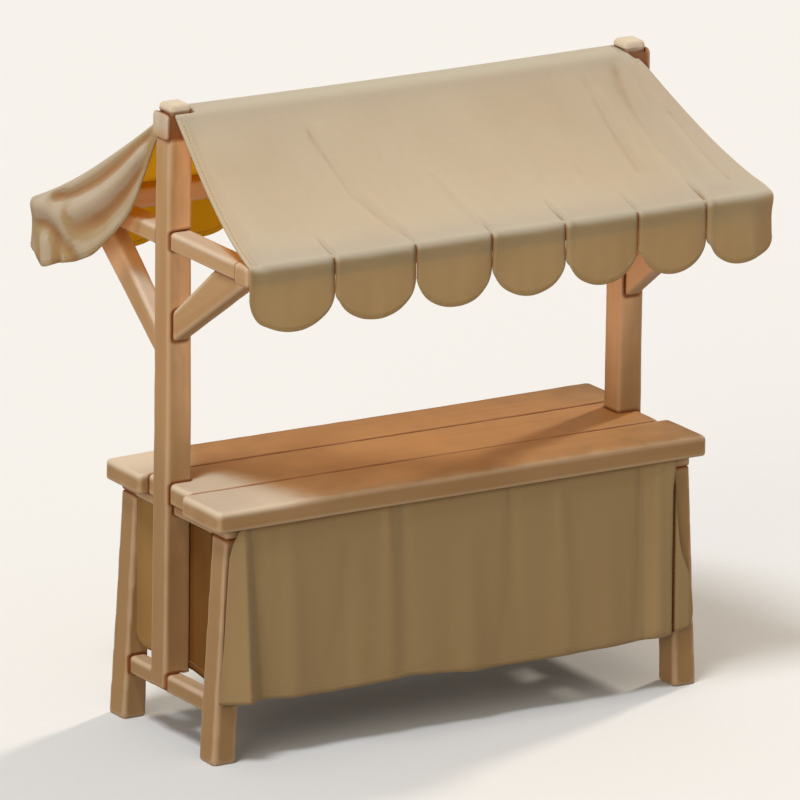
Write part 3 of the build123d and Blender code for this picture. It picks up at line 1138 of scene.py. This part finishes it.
    def columns(self) -> tuple[np.ndarray, np.ndarray, np.ndarray]:
        """Columns of the flaps.

        Returns:
            Share of the eave's length, place in the flap from -1 to 1, and number of the flap.
        """
        widths = [share * self.length / sum(self.flap_shares) for share in self.flap_shares]
        turn = np.linspace(-math.pi / 2, math.pi / 2, self.flap_columns + 1)
        place = 0.95 * np.sin(turn) + 0.05 * turn / (math.pi / 2)
        shares, places, numbers = [], [], []
        start = 0.0
        for number, width in enumerate(widths):
            left = 0.0 if number == 0 else self.flap_slit / 2
            right = 0.0 if number == self.flap_count - 1 else self.flap_slit / 2
            inner = width - left - right
            shares.append((start + left + inner * (place + 1) / 2) / self.length)
            places.append(place)
            numbers.append(np.full(place.shape, number))
            start += width
        return np.concatenate(shares), np.concatenate(places), np.concatenate(numbers)

    def _hang(self, travel: np.ndarray) -> tuple[np.ndarray, np.ndarray]:
        """Curve of cloth that bends over an edge and hangs.

        Args:
            travel: Lengths of cloth past the edge.

        Returns:
            Way out and way down.
        """
        arc = self.bend_radius * math.pi / 2
        turn = np.minimum(travel, arc) / self.bend_radius
        out = self.bend_radius * np.sin(turn)
        down = self.bend_radius * (1 - np.cos(turn)) + np.maximum(travel - arc, 0.0)
        return out, down

    def _lift(self, across: np.ndarray, share: np.ndarray, slits: np.ndarray, seed: float) -> np.ndarray:
        """Lift of the slope's cloth: uneven pulls, creases that end at the slits, and folds.

        Args:
            across: Places along the eave.
            share: Shares of the way from the ridge to the eave.
            slits: Places of the slits along the eave.
            seed: Number that picks the unevenness.

        Returns:
            How far the cloth is lifted.
        """
        away = smooth_step(share, 0.0, 0.25)
        pulls = grid_noise(across, share, (5.5, 0.9, 1.0), seed)
        ripples = grid_noise(across, share, (13.0, 1.6, 1.0), seed + 5.0)
        settled = 1.0 - 0.55 * smooth_step(share, 0.8, 1.0)
        lift = away * settled * (pulls * self.pull_height + ripples * self.ripple_height)
        creases = []
        for strength, slit in zip(self.crease_strengths, slits):
            line = ((slit, 1.0), (slit - 0.004, 0.95), (slit - 0.012, 0.88), (slit - 0.022, 0.80))
            creases.append(Fold(line, -0.012 * strength, 0.007, -0.001, 0.008))
            raised = tuple((x + 0.018, s - 0.01) for x, s in line)
            creases.append(Fold(raised, 0.008 * strength, 0.011, 0.0010, 0.014))
        return lift + total_lift((*creases, *self.slope_folds), across, share)

    def _slope_patch(self, share_x: np.ndarray, slits: np.ndarray, seed: float) -> Patch:
        """Slope from the ridge to the eave, as the front one seen from outside.

        Args:
            share_x: Share of the eave's length at each column.
            slits: Places of the slits along the eave.
            seed: Number that picks the unevenness.

        Returns:
            The slope.
        """
        rows = np.linspace(0.0, 1.0, self.slope_rows + 1)[:, None]
        out, height = self.slope(rows)
        near_end = -self.flush_ridge_end + rows * (self.flush_ridge_end - self.flush_end)
        far_end = np.interp(out, self.free_edge_y, self.free_edge_x)
        x = near_end + (far_end - near_end) * share_x
        top_row = x[0].copy()
        for stop in (-self.post_gap, self.post_gap):
            column = int(np.argmin(np.abs(top_row - stop)))
            x[:, column] += (stop - top_row[column]) * (1 - rows[:, 0]) ** 4
        fall_y, fall_z = np.gradient(out[:, 0]), np.gradient(height[:, 0])
        size = np.hypot(fall_y, fall_z)
        normal_y, normal_z = (-fall_z / size)[:, None], (fall_y / size)[:, None]
        inward = x - near_end
        rim = self.rim_height * np.exp(-((inward / self.rim_width) ** 2))
        groove = self.groove_depth * np.exp(-(((inward - self.groove_place) / self.groove_width) ** 2))
        lift = self._lift(x, rows, slits, seed) + (rim - groove) * smooth_step(rows, 0.02, 0.15)
        droop = self.ridge_droop * np.sin(math.pi * share_x) * (1.0 - rows)
        droop = droop + self.free_end_fall * smooth_step(x, self.post_gap, far_end) * (1 - rows) ** 8
        points = grid(x, -(out + normal_y * lift), height + normal_z * lift - droop)
        steps = np.hypot(np.diff(out[:, 0]), np.diff(height[:, 0]))
        down = np.concatenate([[0.0], np.cumsum(steps)])
        hem = np.where(rows > 0.02, np.minimum(inward, NO_HEM), NO_HEM)
        return Patch(points, grid(x, down[:, None]), hem)

    def _flap_patch(
        self, slope: Patch, share_x: np.ndarray, place: np.ndarray, flap: np.ndarray, seed: float
    ) -> Patch:
        """Scalloped flaps that hang from a slope's eave.

        Args:
            slope: Slope that they hang from.
            share_x: Share of the eave's length at each column.
            place: Place of each column in its flap, from -1 to 1.
            flap: Number of each column's flap.
            seed: Number that picks the unevenness.

        Returns:
            The flaps, without the eave's own row.
        """
        last = flap == self.flap_count - 1
        drops = self.slit_drop + (self.outer_drop - self.slit_drop) * smooth_step(place, 0.2, 1.0) * last
        drops = drops + (self.flap_drop - drops) * np.sqrt(np.maximum(1 - place**2, 0.0))
        falls = (np.linspace(0.0, 1.0, self.hang_rows + 1) ** 1.5)[1:, None]
        travel = falls * drops
        out, fall = self._hang(travel)
        x, y, z = slope.points[-1].T
        sway = grid_noise(x, travel, (7.0, 3.0, 1.0), seed + 40.0)
        ripple = grid_noise(x, travel, (22.0, 2.5, 1.0), seed + 50.0)
        tilt = np.sin(2.1 * flap + seed) * place
        bulge = self.flap_belly * (1 - place**2) + self.flap_tilt * tilt
        bulge = bulge + sway * self.flap_sway + ripple * self.flap_ripple
        bulge = bulge - self.flap_tuck * (flap > 0) * smooth_step(-place, 0.90, 1.0)
        tucked = ~last * smooth_step(place, 0.86, 0.98)
        wrap = smooth_step(share_x, 0.955, 1.0)
        push = smooth_step(travel, 0.015, 0.20) * bulge
        push = push - self.corner_tuck * wrap * smooth_step(travel, 0.02, 0.1)
        push = push - self.flap_roll * tucked * smooth_step(travel, 0.004, 0.024)
        lapped = self.flap_overlap * tucked * smooth_step(travel, 0.008, 0.030)
        reach, turn = out + push, 0.5 * wrap * math.pi / 2
        points = grid(x + reach * np.sin(turn) + lapped, y - reach * np.cos(turn), z - fall)
        width = (1.0 - np.abs(place)) * 0.5 * self.length / self.flap_count
        hem = np.maximum(np.minimum(drops - travel, width), 0.0)
        hem = np.where(travel < 0.03, NO_HEM, hem)
        # Painted shade along the slits, stored as negative hem values.
        beside = np.where(flap == 0, place, np.where(last, -place, np.abs(place)))
        slit_shade = smooth_step(beside, 0.955, 1.0) * smooth_step(travel, 0.0, 0.02)
        slit_shade = slit_shade * (1.0 - smooth_step(travel, self.slit_drop - 0.01, self.slit_drop + 0.02))
        hem = np.where(slit_shade > 0.02, -slit_shade, hem)
        return Patch(points, grid(x, slope.cut[-1, 0, 1] + travel), hem)

    def _swag_patch(self, slope: Patch, seed: float) -> Patch:
        """Free end that hangs from a slope's flared edge.

        Args:
            slope: Slope that it hangs from.
            seed: Number that picks the unevenness.

        Returns:
            The swag, by way down the cloth and row of the slope.
        """
        edge = slope.points[:-1, -1]
        along_y = -edge[:, 1]
        share = np.linspace(0.0, 1.0, self.slope_rows + 1)[:-1]
        drop = edge[:, 2] - np.interp(along_y, self.swag_hem_y, self.swag_hem_z)
        falls = (np.linspace(0.0, 1.0, self.hang_rows + 1) ** 1.5)[1:, None]
        travel = falls * (drop + 0.006)
        out, fall = self._hang(travel)
        run = slope.points[-1, -1] - slope.points[0, -1]
        flat = math.hypot(run[0], run[1])
        outward = (-run[1] / flat, run[0] / flat)
        corner = smooth_step(share, 0.90, 1.0)
        z = edge[:, 2] - fall
        lift = total_lift(self.swag_folds, along_y, z) + 0.004 * grid_noise(along_y, z, 9.0, seed + 70.0)
        lift = lift * (smooth_step(travel, 0.0, 0.035) * smooth_step(share, 0.0, 0.06))
        push = (out + lift) * (1 - 0.25 * corner)
        y = -(along_y - push * outward[1] - 0.35 * corner * out)
        points = grid(edge[:, 0] + push * outward[0], y, z)
        return Patch(points, grid(edge[:, 0] + travel, slope.cut[:-1, 0, 1]), drop - travel)

    def _half(self, sheet: SheetBuilder, face: Face, seed: float) -> tuple[np.ndarray, list[np.ndarray]]:
        """Add one slope with its flaps and swag, built as the front one and turned for the back.

        Args:
            sheet: Sheet to add to.
            face: Side of the stall.
            seed: Number that picks the unevenness.

        Returns:
            Numbers of the ridge row's points, and of the points along each hem, where the stitches run.
        """
        share_x, place, flap = self.columns()
        ends = [share_x[flap == number][-1] for number in range(self.flap_count - 1)]
        slope = self._slope_patch(share_x, -self.flush_end + np.array(ends) * self.length, seed)
        flaps = self._flap_patch(slope, share_x, place, flap, seed)
        swag = self._swag_patch(slope, seed)
        turned = np.array([-face.value, -face.value, 1.0])
        slope_numbers = sheet.add(slope.points * turned, slope.cut * turned[1:], slope.hem)
        flap_numbers = sheet.add(flaps.points * turned, flaps.cut * turned[1:], flaps.hem)
        swag_numbers = sheet.add(swag.points * turned, swag.cut, swag.hem)
        sheet.fill(slope_numbers, flip=True)
        step = self.flap_columns + 1
        hanging = np.concatenate([slope_numbers[-1:], flap_numbers])
        sheet.fill(hanging, True, lambda row, column: column % step == step - 1 and row >= self.closed_rows)
        swag_numbers = np.concatenate([swag_numbers, flap_numbers[:, -1:]], axis=1)
        swag_numbers = np.concatenate([slope_numbers[None, :, -1], swag_numbers])
        sheet.fill(swag_numbers, flip=False)
        starts = range(0, self.flap_count * step, step)
        hems = [flap_numbers[self.hang_rows - 2, start + 1 : start + step - 1] for start in starts]
        return slope_numbers[0], [*hems, slope_numbers[3:, 5], swag_numbers[-2, 2:-2]]

    def build(self, stitches: HemStitches) -> None:
        """Build the canopy as one sheet, thicken it and sew its hems."""
        sheet = SheetBuilder()
        front_row, front_hems = self._half(sheet, Face.FRONT, 1.3)
        back_row, back_hems = self._half(sheet, Face.BACK, 8.6)
        points = np.concatenate(sheet.points)
        front, back = (
            row[np.abs(points[row, 0]) <= self.post_gap + 1e-4] for row in (front_row, back_row[::-1])
        )
        strips = []
        for share in (0.25, 0.5, 0.75):
            strip = points[front] * (1 - share) + points[back] * share
            strip[:, 2] += 0.004 * math.sin(math.pi * share)
            strips.append(sheet.add(strip, strip[:, :2], np.full(len(front), NO_HEM)))
        sheet.fill(np.stack([front, *strips, back]), flip=False)
        mesh = sheet.mesh("canopy_cloth", self._smoothing, self.smoothing_passes)
        piece = new_object("canopy_cloth", mesh)
        area, places, normals = sheet_area(mesh), mesh_arrays(mesh)[0], normals_of(mesh)
        paths = [(places[hem], normals[hem]) for hem in front_hems + back_hems]
        thicken(piece, self.thickness, CANVAS.material(), CANVAS_UNDERSIDE_GLOW.material())
        register(piece, "canopy_cloth", "canopy", "front_valance", "back_valance", "left_swag", "right_swag")
        sewn = stitches.build("canopy_stitches", paths, self.thickness / 2, "canopy_cloth")

    def _smoothing(self, points: np.ndarray) -> np.ndarray:
        """Share of smoothing: strong at the free corners and over the edge bends.

        Args:
            points: Places, one row each.

        Returns:
            Shares from 0 to 0.9.
        """
        x, y, z = points[:, 0], points[:, 1], points[:, 2]
        turned = np.where(y > 0, -1.0, 1.0)
        corner = np.hypot(turned * x - self.free_end, np.abs(y) - self.eave_y)
        near_corner = 1.0 - smooth_step(corner, 0.03, 0.11)
        edge_x = np.interp(np.abs(y), self.free_edge_y, self.free_edge_x)
        near_edge = 1.0 - smooth_step(np.abs(turned * x - edge_x), 0.02, 0.05)
        upper = smooth_step(z, 1.60, 1.75)
        return np.clip(0.12 + 0.7 * near_corner * upper + 0.4 * near_edge * upper, 0.0, 0.9)


@dataclass
class Drape:
    """Sheet that hangs from the counter between two legs."""

    stitches: HemStitches
    neighbours: Neighbours
    finish: ClothFinish = DRAPERY
    thickness: float = 0.006
    shade_reach: float = 0.035

    def _shade_share(self, places: np.ndarray, near: np.ndarray) -> np.ndarray:
        """How strong the painted shade is at each place, from its nearness to timber."""
        return near

    def _finish(
        self, node: str, cloth: Patch, flip: bool, flat: tuple[float, float], support: str
    ) -> None:
        """Args:
            node: CAD node that it replaces.
            cloth: Its grid.
            flip: Turn the faces over.
            flat: Width and length that the cloth was cut to.
            support: Piece that it hangs from; not used.
        """
        name = f"{node}_cloth"
        sheet = SheetBuilder()
        numbers = sheet.add(cloth.points, cloth.cut, cloth.hem)
        sheet.fill(numbers, flip)
        mesh = sheet.mesh(name)
        places, edges = mesh_arrays(mesh)
        # Painted shade near posts, legs and counter.
        near = self.neighbours.nearness(node, places, self.shade_reach, ("drape", "bearer", "canopy"))
        store(mesh, "rub", self._shade_share(places, relax(near, edges, 4)))
        piece = new_object(name, mesh)
        area, normals = sheet_area(mesh), normals_of(mesh)
        row = numbers[-3, 2:-2]
        material = self.finish.material()
        thicken(piece, self.thickness, material, material)
        register(piece, "drape_cloth", node)
        path = (places[row], normals[row])
        sewn = self.stitches.build(f"{name}_stitches", [path], self.thickness / 2, "drape_cloth")
        log.info("%s area %.3f of %.3f", name, area, flat[0] * flat[1])


@dataclass
class LongDrape(Drape):
    """Drape along the front or the back, with its ends folded over the legs."""

    middle_columns: int = 150
    end_columns: int = 56
    end_start: float = 0.80
    rows: int = 44
    wrapped_cloth: float = 0.12
    stand_off: float = 0.006
    sway_height: float = 0.010
    ripple_height: float = 0.002
    lap_rise: float = 0.012
    left_turn: tuple[float, float] = (0.760, 0.830)
    outer_ends: tuple[float, float] = (-0.972, 0.972)
    folds: tuple[Fold, ...] = (
        Fold(((-0.70, 0.0), (-0.66, 1.0)), 0.003, 0.030, 0.012, 0.060),
        Fold(((-0.46, 0.2), (-0.48, 1.0)), -0.002, 0.030, -0.008, 0.050),
        Fold(((-0.30, 0.0), (-0.28, 1.0)), 0.007, 0.016, 0.006, 0.045),
        Fold(((-0.235, 0.0), (-0.215, 1.0)), -0.007, 0.018, -0.004, 0.05),
        Fold(((0.02, 0.3), (0.05, 1.0)), 0.002, 0.040, 0.010, 0.060),
        Fold(((0.20, 0.0), (0.22, 1.0)), -0.006, 0.020, -0.006, 0.050),
        Fold(((0.40, 0.1), (0.43, 1.0)), 0.006, 0.025, 0.008, 0.055),
        Fold(((0.60, 0.3), (0.62, 1.0)), 0.001, 0.030, 0.008, 0.050),
        Fold(((0.735, 0.0), (0.745, 1.0)), -0.006, 0.020, -0.009, 0.035),
        Fold(((0.80, 0.0), (0.805, 1.0)), 0.006, 0.022, 0.013, 0.030),
    )
    hem_x: tuple[float, ...] = (-0.97, -0.861, -0.658, -0.495, -0.17, 0.074, 0.317, 0.561, 0.765, 0.86, 0.97)
    hem_z: tuple[float, ...] = (0.220, 0.222, 0.207, 0.200, 0.212, 0.190, 0.188, 0.194, 0.196, 0.205, 0.226)
    edge_z: tuple[float, ...] = (
        0.840, 0.815, 0.790, 0.740, 0.640, 0.540, 0.500, 0.460, 0.420, 0.340, 0.270, 0.215
    )
    left_edge_x: tuple[float, ...] = (
        -0.896, -0.908, -0.922, -0.934, -0.940, -0.946, -0.948, -0.950, -0.952, -0.958, -0.964, -0.966
    )
    right_edge_x: tuple[float, ...] = (
        0.874, 0.874, 0.875, 0.877, 0.882, 0.892, 0.901, 0.916, 0.932, 0.950, 0.958, 0.948
    )

    def build(self, face: Face) -> None:
        """Build the drape of one long side; the back repeats the front, turned half round."""
        side = face.name.lower()
        low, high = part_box(f"{side}_drape")
        fine = np.linspace(self.end_start, 1.0, self.end_columns + 1)
        coarse = np.linspace(-self.end_start, self.end_start, self.middle_columns + 1)[1:-1]
        wide = np.concatenate([-fine[::-1], coarse, fine])[None, :]
        fall = np.linspace(0.0, 1.0, self.rows + 1)[:, None]
        hem_line = np.interp(high.x * wide, self.hem_x, self.hem_z)
        z = high.z + (hem_line - high.z) * fall
        edge_fall = -np.array(self.edge_z)
        left_edge = np.interp(-z, edge_fall, self.left_edge_x)
        right_edge = np.interp(-z, edge_fall, self.right_edge_x)
        x = (left_edge + right_edge) / 2 + wide * (right_edge - left_edge) / 2
        sway = grid_noise(x, z, (4.5, 1.1, 1.0), 13.0 + face.value)
        ripple = grid_noise(x, z, (14.0, 1.4, 1.0), 31.0 + face.value)
        level = 1.0 - (z - low.z) / (high.z - low.z)
        uneven = sway * self.sway_height + ripple * self.ripple_height
        ahead = total_lift(self.folds, x, level) + level * uneven + self.stand_off
        crease = self._crease(level)
        ahead += self.lap_rise * smooth_step(x, crease - 0.090, crease - 0.020)
        over = smooth_step(-x, *self.left_turn) + smooth_step(x, crease - 0.012, crease - 0.002)
        ahead = ahead * (1.0 - over)
        ahead += self._left_end(x, level) + self._right_end(x, level)
        plane = low.y if face is Face.BACK else high.y
        y = plane + face.value * (np.maximum(ahead, 0.0005) + self.thickness / 2)
        cloth = Patch(grid(x * -face.value, y, z), grid(x, z), z - hem_line)
        flat = (2 * self.right_edge_x[-1] + self.wrapped_cloth, high.z - min(self.hem_z))
        self._finish(f"{side}_drape", cloth, False, flat, f"counter_board_{side}_worn")

    def _shade_share(self, places: np.ndarray, near: np.ndarray) -> np.ndarray:
        """Painted shade: a dark line in the crease beside the right leg, and a little darkening near the
        counter and legs.

        Args:
            places: Places on the drape, one row each.
            near: Nearness of each to timber.

        Returns:
            How strong the painted shade is at each place.
        """
        low, high = places[:, 2].min(), places[:, 2].max()
        crease = self._crease(1.0 - (places[:, 2] - low) / (high - low))
        past = places[:, 0] * -np.sign(places[:, 1]) - crease
        line = smooth_step(past, -0.007, -0.001) * (1.0 - smooth_step(past, 0.007, 0.016))
        return np.maximum(line, near * 0.5 * (past < 0.0))

    def _left_end(self, x: np.ndarray, level: np.ndarray) -> np.ndarray:
        """Fold that stands off the left leg and falls back towards the middle.

        Args:
            x: Places along the drape.
            level: Shares of the way from the counter to the hem.

        Returns:
            How far the cloth stands off.
        """
        crest = 0.020 + 0.036 * level
        middle = -0.880 + 0.010 * level
        rise = np.clip((x - self.outer_ends[0]) / (middle - self.outer_ends[0]), 0.0, 1.0)
        fall = 1.0 - smooth_step(x, middle - 0.006, middle + 0.045 + 0.035 * level)
        return crest * rise * fall

    def _crease(self, level: np.ndarray) -> np.ndarray:
        """Place of the deep crease beside the right leg."""
        return 0.866 + 0.004 * level + 0.012 * smooth_step(1.0 - level, 0.80, 1.0)

    def _right_end(self, x: np.ndarray, level: np.ndarray) -> np.ndarray:
        """Strip that wraps the right leg, parted from the drape by a deep crease.

        Args:
            x: Places along the drape.
            level: Shares of the way from the counter to the hem.

        Returns:
            How far the cloth stands off.
        """
        crease = self._crease(level)
        rise = smooth_step(x, crease + 0.001, crease + 0.022)
        fall = 1.0 - smooth_step(x, 0.930, self.outer_ends[1])
        puff = 0.012 + 0.014 * smooth_step(1.0 - level, 0.75, 1.0)
        return puff * rise * fall


@dataclass
class SideDrape(Drape):
    """Drape inside an end frame, with rounded lower corners."""

    columns: int = 84
    rows: int = 44
    corner: float = 0.06
    post_half: float = 0.049
    past_post: float = 0.014
    reach_out: float = 0.012
    side_cloth: float = 0.04
    hem_cloth: float = 0.01
    hem_wave: float = 0.008
    even_shade: float = 0.28
    half_shade: float = 0.44

    def _shade_share(self, places: np.ndarray, near: np.ndarray) -> np.ndarray:
        """Painted shade all over, most on the half in front at the left end and at the back at the right
        one.
        """
        half = smooth_step(places[:, 1] * np.sign(places[:, 0]), -0.02, 0.05)
        return np.maximum(self.even_shade + self.half_shade * half, near * (0.5 + 0.5 * half))

    def build(self, end: End) -> None:
        """Build the drape of one end."""
        side = end.name.lower()
        low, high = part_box(f"{side}_side_drape")
        wide = np.linspace(0.0, 1.0, self.columns + 1)[None, :]
        fall = np.linspace(0.0, 1.0, self.rows + 1)[:, None]
        y = low.y + (high.y - low.y) * wide
        post_half = self.post_half + self.past_post
        front, back = (-post_half - y) / (-post_half - low.y), (y - post_half) / (high.y - post_half)
        bend = np.clip(np.where(y < 0, front, back), 0.0, 1.0)
        bend = bend * (0.75 + 0.25 * bend)
        from_edge = np.minimum(y - low.y, high.y - y)
        inside = np.clip(1.0 - from_edge / self.corner, 0.0, 1.0)
        hem_line = low.z + self.corner * (1.0 - np.sqrt(1.0 - inside**2))
        hem_line = hem_line + self.hem_wave * np.sin(9.0 * y)
        z = high.z + (hem_line - high.z) * fall
        level = 1.0 - (z - low.z) / (high.z - low.z)
        sway = grid_noise(y, z, (8.0, 1.0, 1.0), 57.0 + 4 * end.value)
        ripple = grid_noise(y, z, (20.0, 1.2, 1.0), 77.0 + 4 * end.value)
        span = high.x - low.x - self.thickness + self.reach_out
        inner = (low.x if end is End.RIGHT else -high.x) + self.thickness / 2
        slack = np.sin(math.pi * bend) * (0.010 + 0.016 * sway) + 0.005 * ripple * (bend > 0)
        x = end.value * (inner + bend * span - level**0.5 * slack * (bend < 1.0))
        cloth = Patch(grid(x, y, z), grid(y, z), np.minimum(z - hem_line, from_edge))
        flat = (high.y - low.y + self.side_cloth, high.z - low.z + self.hem_cloth)
        self._finish(f"{side}_side_drape", cloth, end is End.LEFT, flat, f"{side}_bearer_worn")


# Stitches


@dataclass
class HemStitches:
    """Running stitches along the hems, made by a Geometry Nodes tree."""

    spacing: float = 0.013
    stitch_length: float = 0.0075
    thread_radius: float = 0.0011
    seed: int = 7
    corners: int = 6
    unevenness: tuple[float, float] = (0.8, 1.15)

    def __post_init__(self) -> None:
        """Build the tree with its named inputs."""
        self.values = {
            "Spacing": ("Float", self.spacing),
            "Stitch Length": ("Float", self.stitch_length),
            "Thread Radius": ("Float", self.thread_radius),
            "Seed": ("Int", self.seed),
            "Thread": ("Material", THREAD.material()),
        }
        tree = bpy.data.node_groups.new("running_stitches", "GeometryNodeTree")
        self.tree = tree
        socket = tree.interface.new_socket
        socket(name="Geometry", in_out="INPUT", socket_type="NodeSocketGeometry")
        for name, (kind, value) in self.values.items():
            socket(name=name, in_out="INPUT", socket_type=f"NodeSocket{kind}").default_value = value
        socket(name="Geometry", in_out="OUTPUT", socket_type="NodeSocketGeometry")
        node, link = tree.nodes.new, tree.links.new
        given, result = node("NodeGroupInput"), node("NodeGroupOutput")
        curve, marks = node("GeometryNodeMeshToCurve"), node("GeometryNodeCurveToPoints")
        marks.mode = "LENGTH"
        stitch, turn = node("GeometryNodeMeshCylinder"), node("FunctionNodeAlignRotationToVector")
        stitch.inputs["Vertices"].default_value = self.corners
        turn.axis = "Z"
        uneven = node("FunctionNodeRandomValue")
        uneven.data_type = "FLOAT"
        limits = [item for item in uneven.inputs if item.type == "VALUE" and item.enabled]
        limits[0].default_value, limits[1].default_value = self.unevenness
        scale = next(item for item in uneven.outputs if item.type == "VALUE" and item.enabled)
        place, real = node("GeometryNodeInstanceOnPoints"), node("GeometryNodeRealizeInstances")
        dressed = node("GeometryNodeSetMaterial")
        for start, output, end, entry in (
            (given, "Geometry", curve, "Mesh"),
            (curve, "Curve", marks, "Curve"),
            (given, "Spacing", marks, "Length"),
            (given, "Thread Radius", stitch, "Radius"),
            (given, "Stitch Length", stitch, "Depth"),
            (marks, "Tangent", turn, "Vector"),
            (given, "Seed", uneven, "Seed"),
            (marks, "Points", place, "Points"),
            (stitch, "Mesh", place, "Instance"),
            (turn, "Rotation", place, "Rotation"),
            (place, "Instances", real, "Geometry"),
            (real, "Geometry", dressed, "Geometry"),
            (given, "Thread", dressed, "Material"),
            (dressed, "Geometry", result, "Geometry"),
        ):
            link(start.outputs[output], end.inputs[entry])
        link(scale, place.inputs["Scale"])

    def build(
        self, name: str, paths: Sequence[tuple[np.ndarray, np.ndarray]], lift: float, slot: str
    ) -> bpy.types.Object:
        """Sew stitches along paths on a cloth.

        Args:
            name: Name of the piece.
            paths: Points along each hem, with the cloth's normals there.
            lift: Distance of the stitches from the middle of the cloth.
            slot: Record's slot of the cloth; not used.

        Returns:
            The stitches as one piece.
        """
        points: list[Vector] = []
        edges: list[tuple[int, int]] = []
        for places, normals in paths:
            for side in (1.0, -1.0):
                first = len(points)
                points += [Vector(p + side * lift * n) for p, n in zip(places, normals)]
                edges += [(i, i + 1) for i in range(first, len(points) - 1)]
        mesh = bpy.data.meshes.new(name)
        mesh.from_pydata(points, edges, [])
        piece = new_object(name, mesh)
        sewing = piece.modifiers.new("stitches", "NODES")
        sewing.node_group = self.tree
        for item in self.tree.interface.items_tree:
            if item.name in self.values:
                sewing[item.identifier] = self.values[item.name][1]
        baked(piece)
        register(piece, slot)
        return piece


# Studio


@dataclass(frozen=True)
class Lamp:
    """Distant lamp, with the direction towards it and its spread in degrees."""

    name: str
    towards: Colour
    strength: float
    spread: float
    colour: Colour

    def light(self) -> None:
        """Add the lamp to the scene."""
        data = bpy.data.lights.new(self.name, "SUN")
        data.energy = self.strength
        data.angle = math.radians(self.spread)
        data.color = self.colour
        new_object(self.name, data).rotation_euler = Vector(self.towards).to_track_quat("Z", "Y").to_euler()


@dataclass
class Studio:
    """Pale floor, soft light and the camera at the photograph's angle."""

    azimuth: float = 31.59
    elevation: float = 16.06
    roll: float = 0.78
    distance: float = 40.0
    scale: float = 288.0
    centre_x: float = 400.2
    centre_y: float = 399.8
    target_height: float = 1.069
    width: float = 800.0
    sensor: float = 36.0
    far_clip: float = 200.0
    floor_reach: float = 60.0
    lamps: tuple[Lamp, ...] = (
        Lamp("key", (-0.35, -0.16, 0.92), 1.70, 14.0, (0.97, 0.99, 1.0)),
        Lamp("left", (-0.82, -0.48, 0.31), 1.10, 40.0, (1.0, 0.90, 0.77)),
        Lamp("side", (0.80, 0.33, 0.50), 1.85, 7.0, (1.0, 0.88, 0.72)),
    )
    sky_colour: Colour = (1.0, 0.92, 0.81)
    sky_strength: float = 0.45

    def build(self) -> None:
        """Set floor, world, lamps, camera and colour view."""
        self._floor()
        self._lights()
        self._camera()
        bpy.context.scene.view_settings.view_transform = "Standard"

    def _floor(self) -> None:
        """Pale floor that takes the stall's shadow."""
        mesh = bpy.data.meshes.new("studio_floor")
        reach = self.floor_reach
        corners = [(-reach, -reach, 0), (reach, -reach, 0), (reach, reach, 0), (-reach, reach, 0)]
        mesh.from_pydata(corners, [], [(0, 1, 2, 3)])
        shade_smooth(mesh)
        floor = new_object("studio_floor", mesh)
        mesh.materials.append(FLOOR.material())

    def _lights(self) -> None:
        """Soft key from above, warmer lamps from the left and the right back, and an even sky."""
        for lamp in self.lamps:
            lamp.light()
        world = bpy.data.worlds.new("sky")
        bpy.context.scene.world = world
        world.use_nodes = True
        sky = world.node_tree.nodes["Background"]
        sky.inputs["Color"].default_value = (*self.sky_colour, 1.0)
        sky.inputs["Strength"].default_value = self.sky_strength

    def _camera(self) -> None:
        """Long lens from the front left, turned as the photograph is."""
        azimuth, elevation, roll = (math.radians(a) for a in (self.azimuth, self.elevation, self.roll))
        flat = math.cos(elevation)
        back = Vector((-math.sin(azimuth) * flat, -math.cos(azimuth) * flat, math.sin(elevation)))
        level = (-back).cross(Vector((0.0, 0.0, 1.0))).normalized()
        upright = level.cross(-back)
        right = math.cos(roll) * level + math.sin(roll) * upright
        up = math.cos(roll) * upright - math.sin(roll) * level
        data = bpy.data.cameras.new("camera")
        data.sensor_width = self.sensor
        data.lens = self.scale * self.distance / self.width * self.sensor
        data.shift_x = (self.width / 2 - self.centre_x) / self.width
        data.shift_y = (self.centre_y - self.width / 2) / self.width
        data.clip_end = self.far_clip
        camera = new_object("camera", data)
        turned = Matrix((right, up, back)).transposed().to_4x4()
        place = Vector((0, 0, self.target_height)) + back * self.distance
        camera.matrix_world = Matrix.Translation(place) @ turned
        bpy.context.scene.camera = camera


def main() -> None:
    """Build the stall's looks, piece by piece."""
    neighbours = Neighbours()
    Timbers(neighbours).build()
    stitches = HemStitches()
    CanopyCloth().build(stitches)
    for face in Face:
        LongDrape(stitches, neighbours).build(face)
    for end in End:
        SideDrape(stitches, neighbours, SHADED_DRAPERY, shade_reach=0.12).build(end)
    Studio().build()


if __name__ == "__main__":
    main()
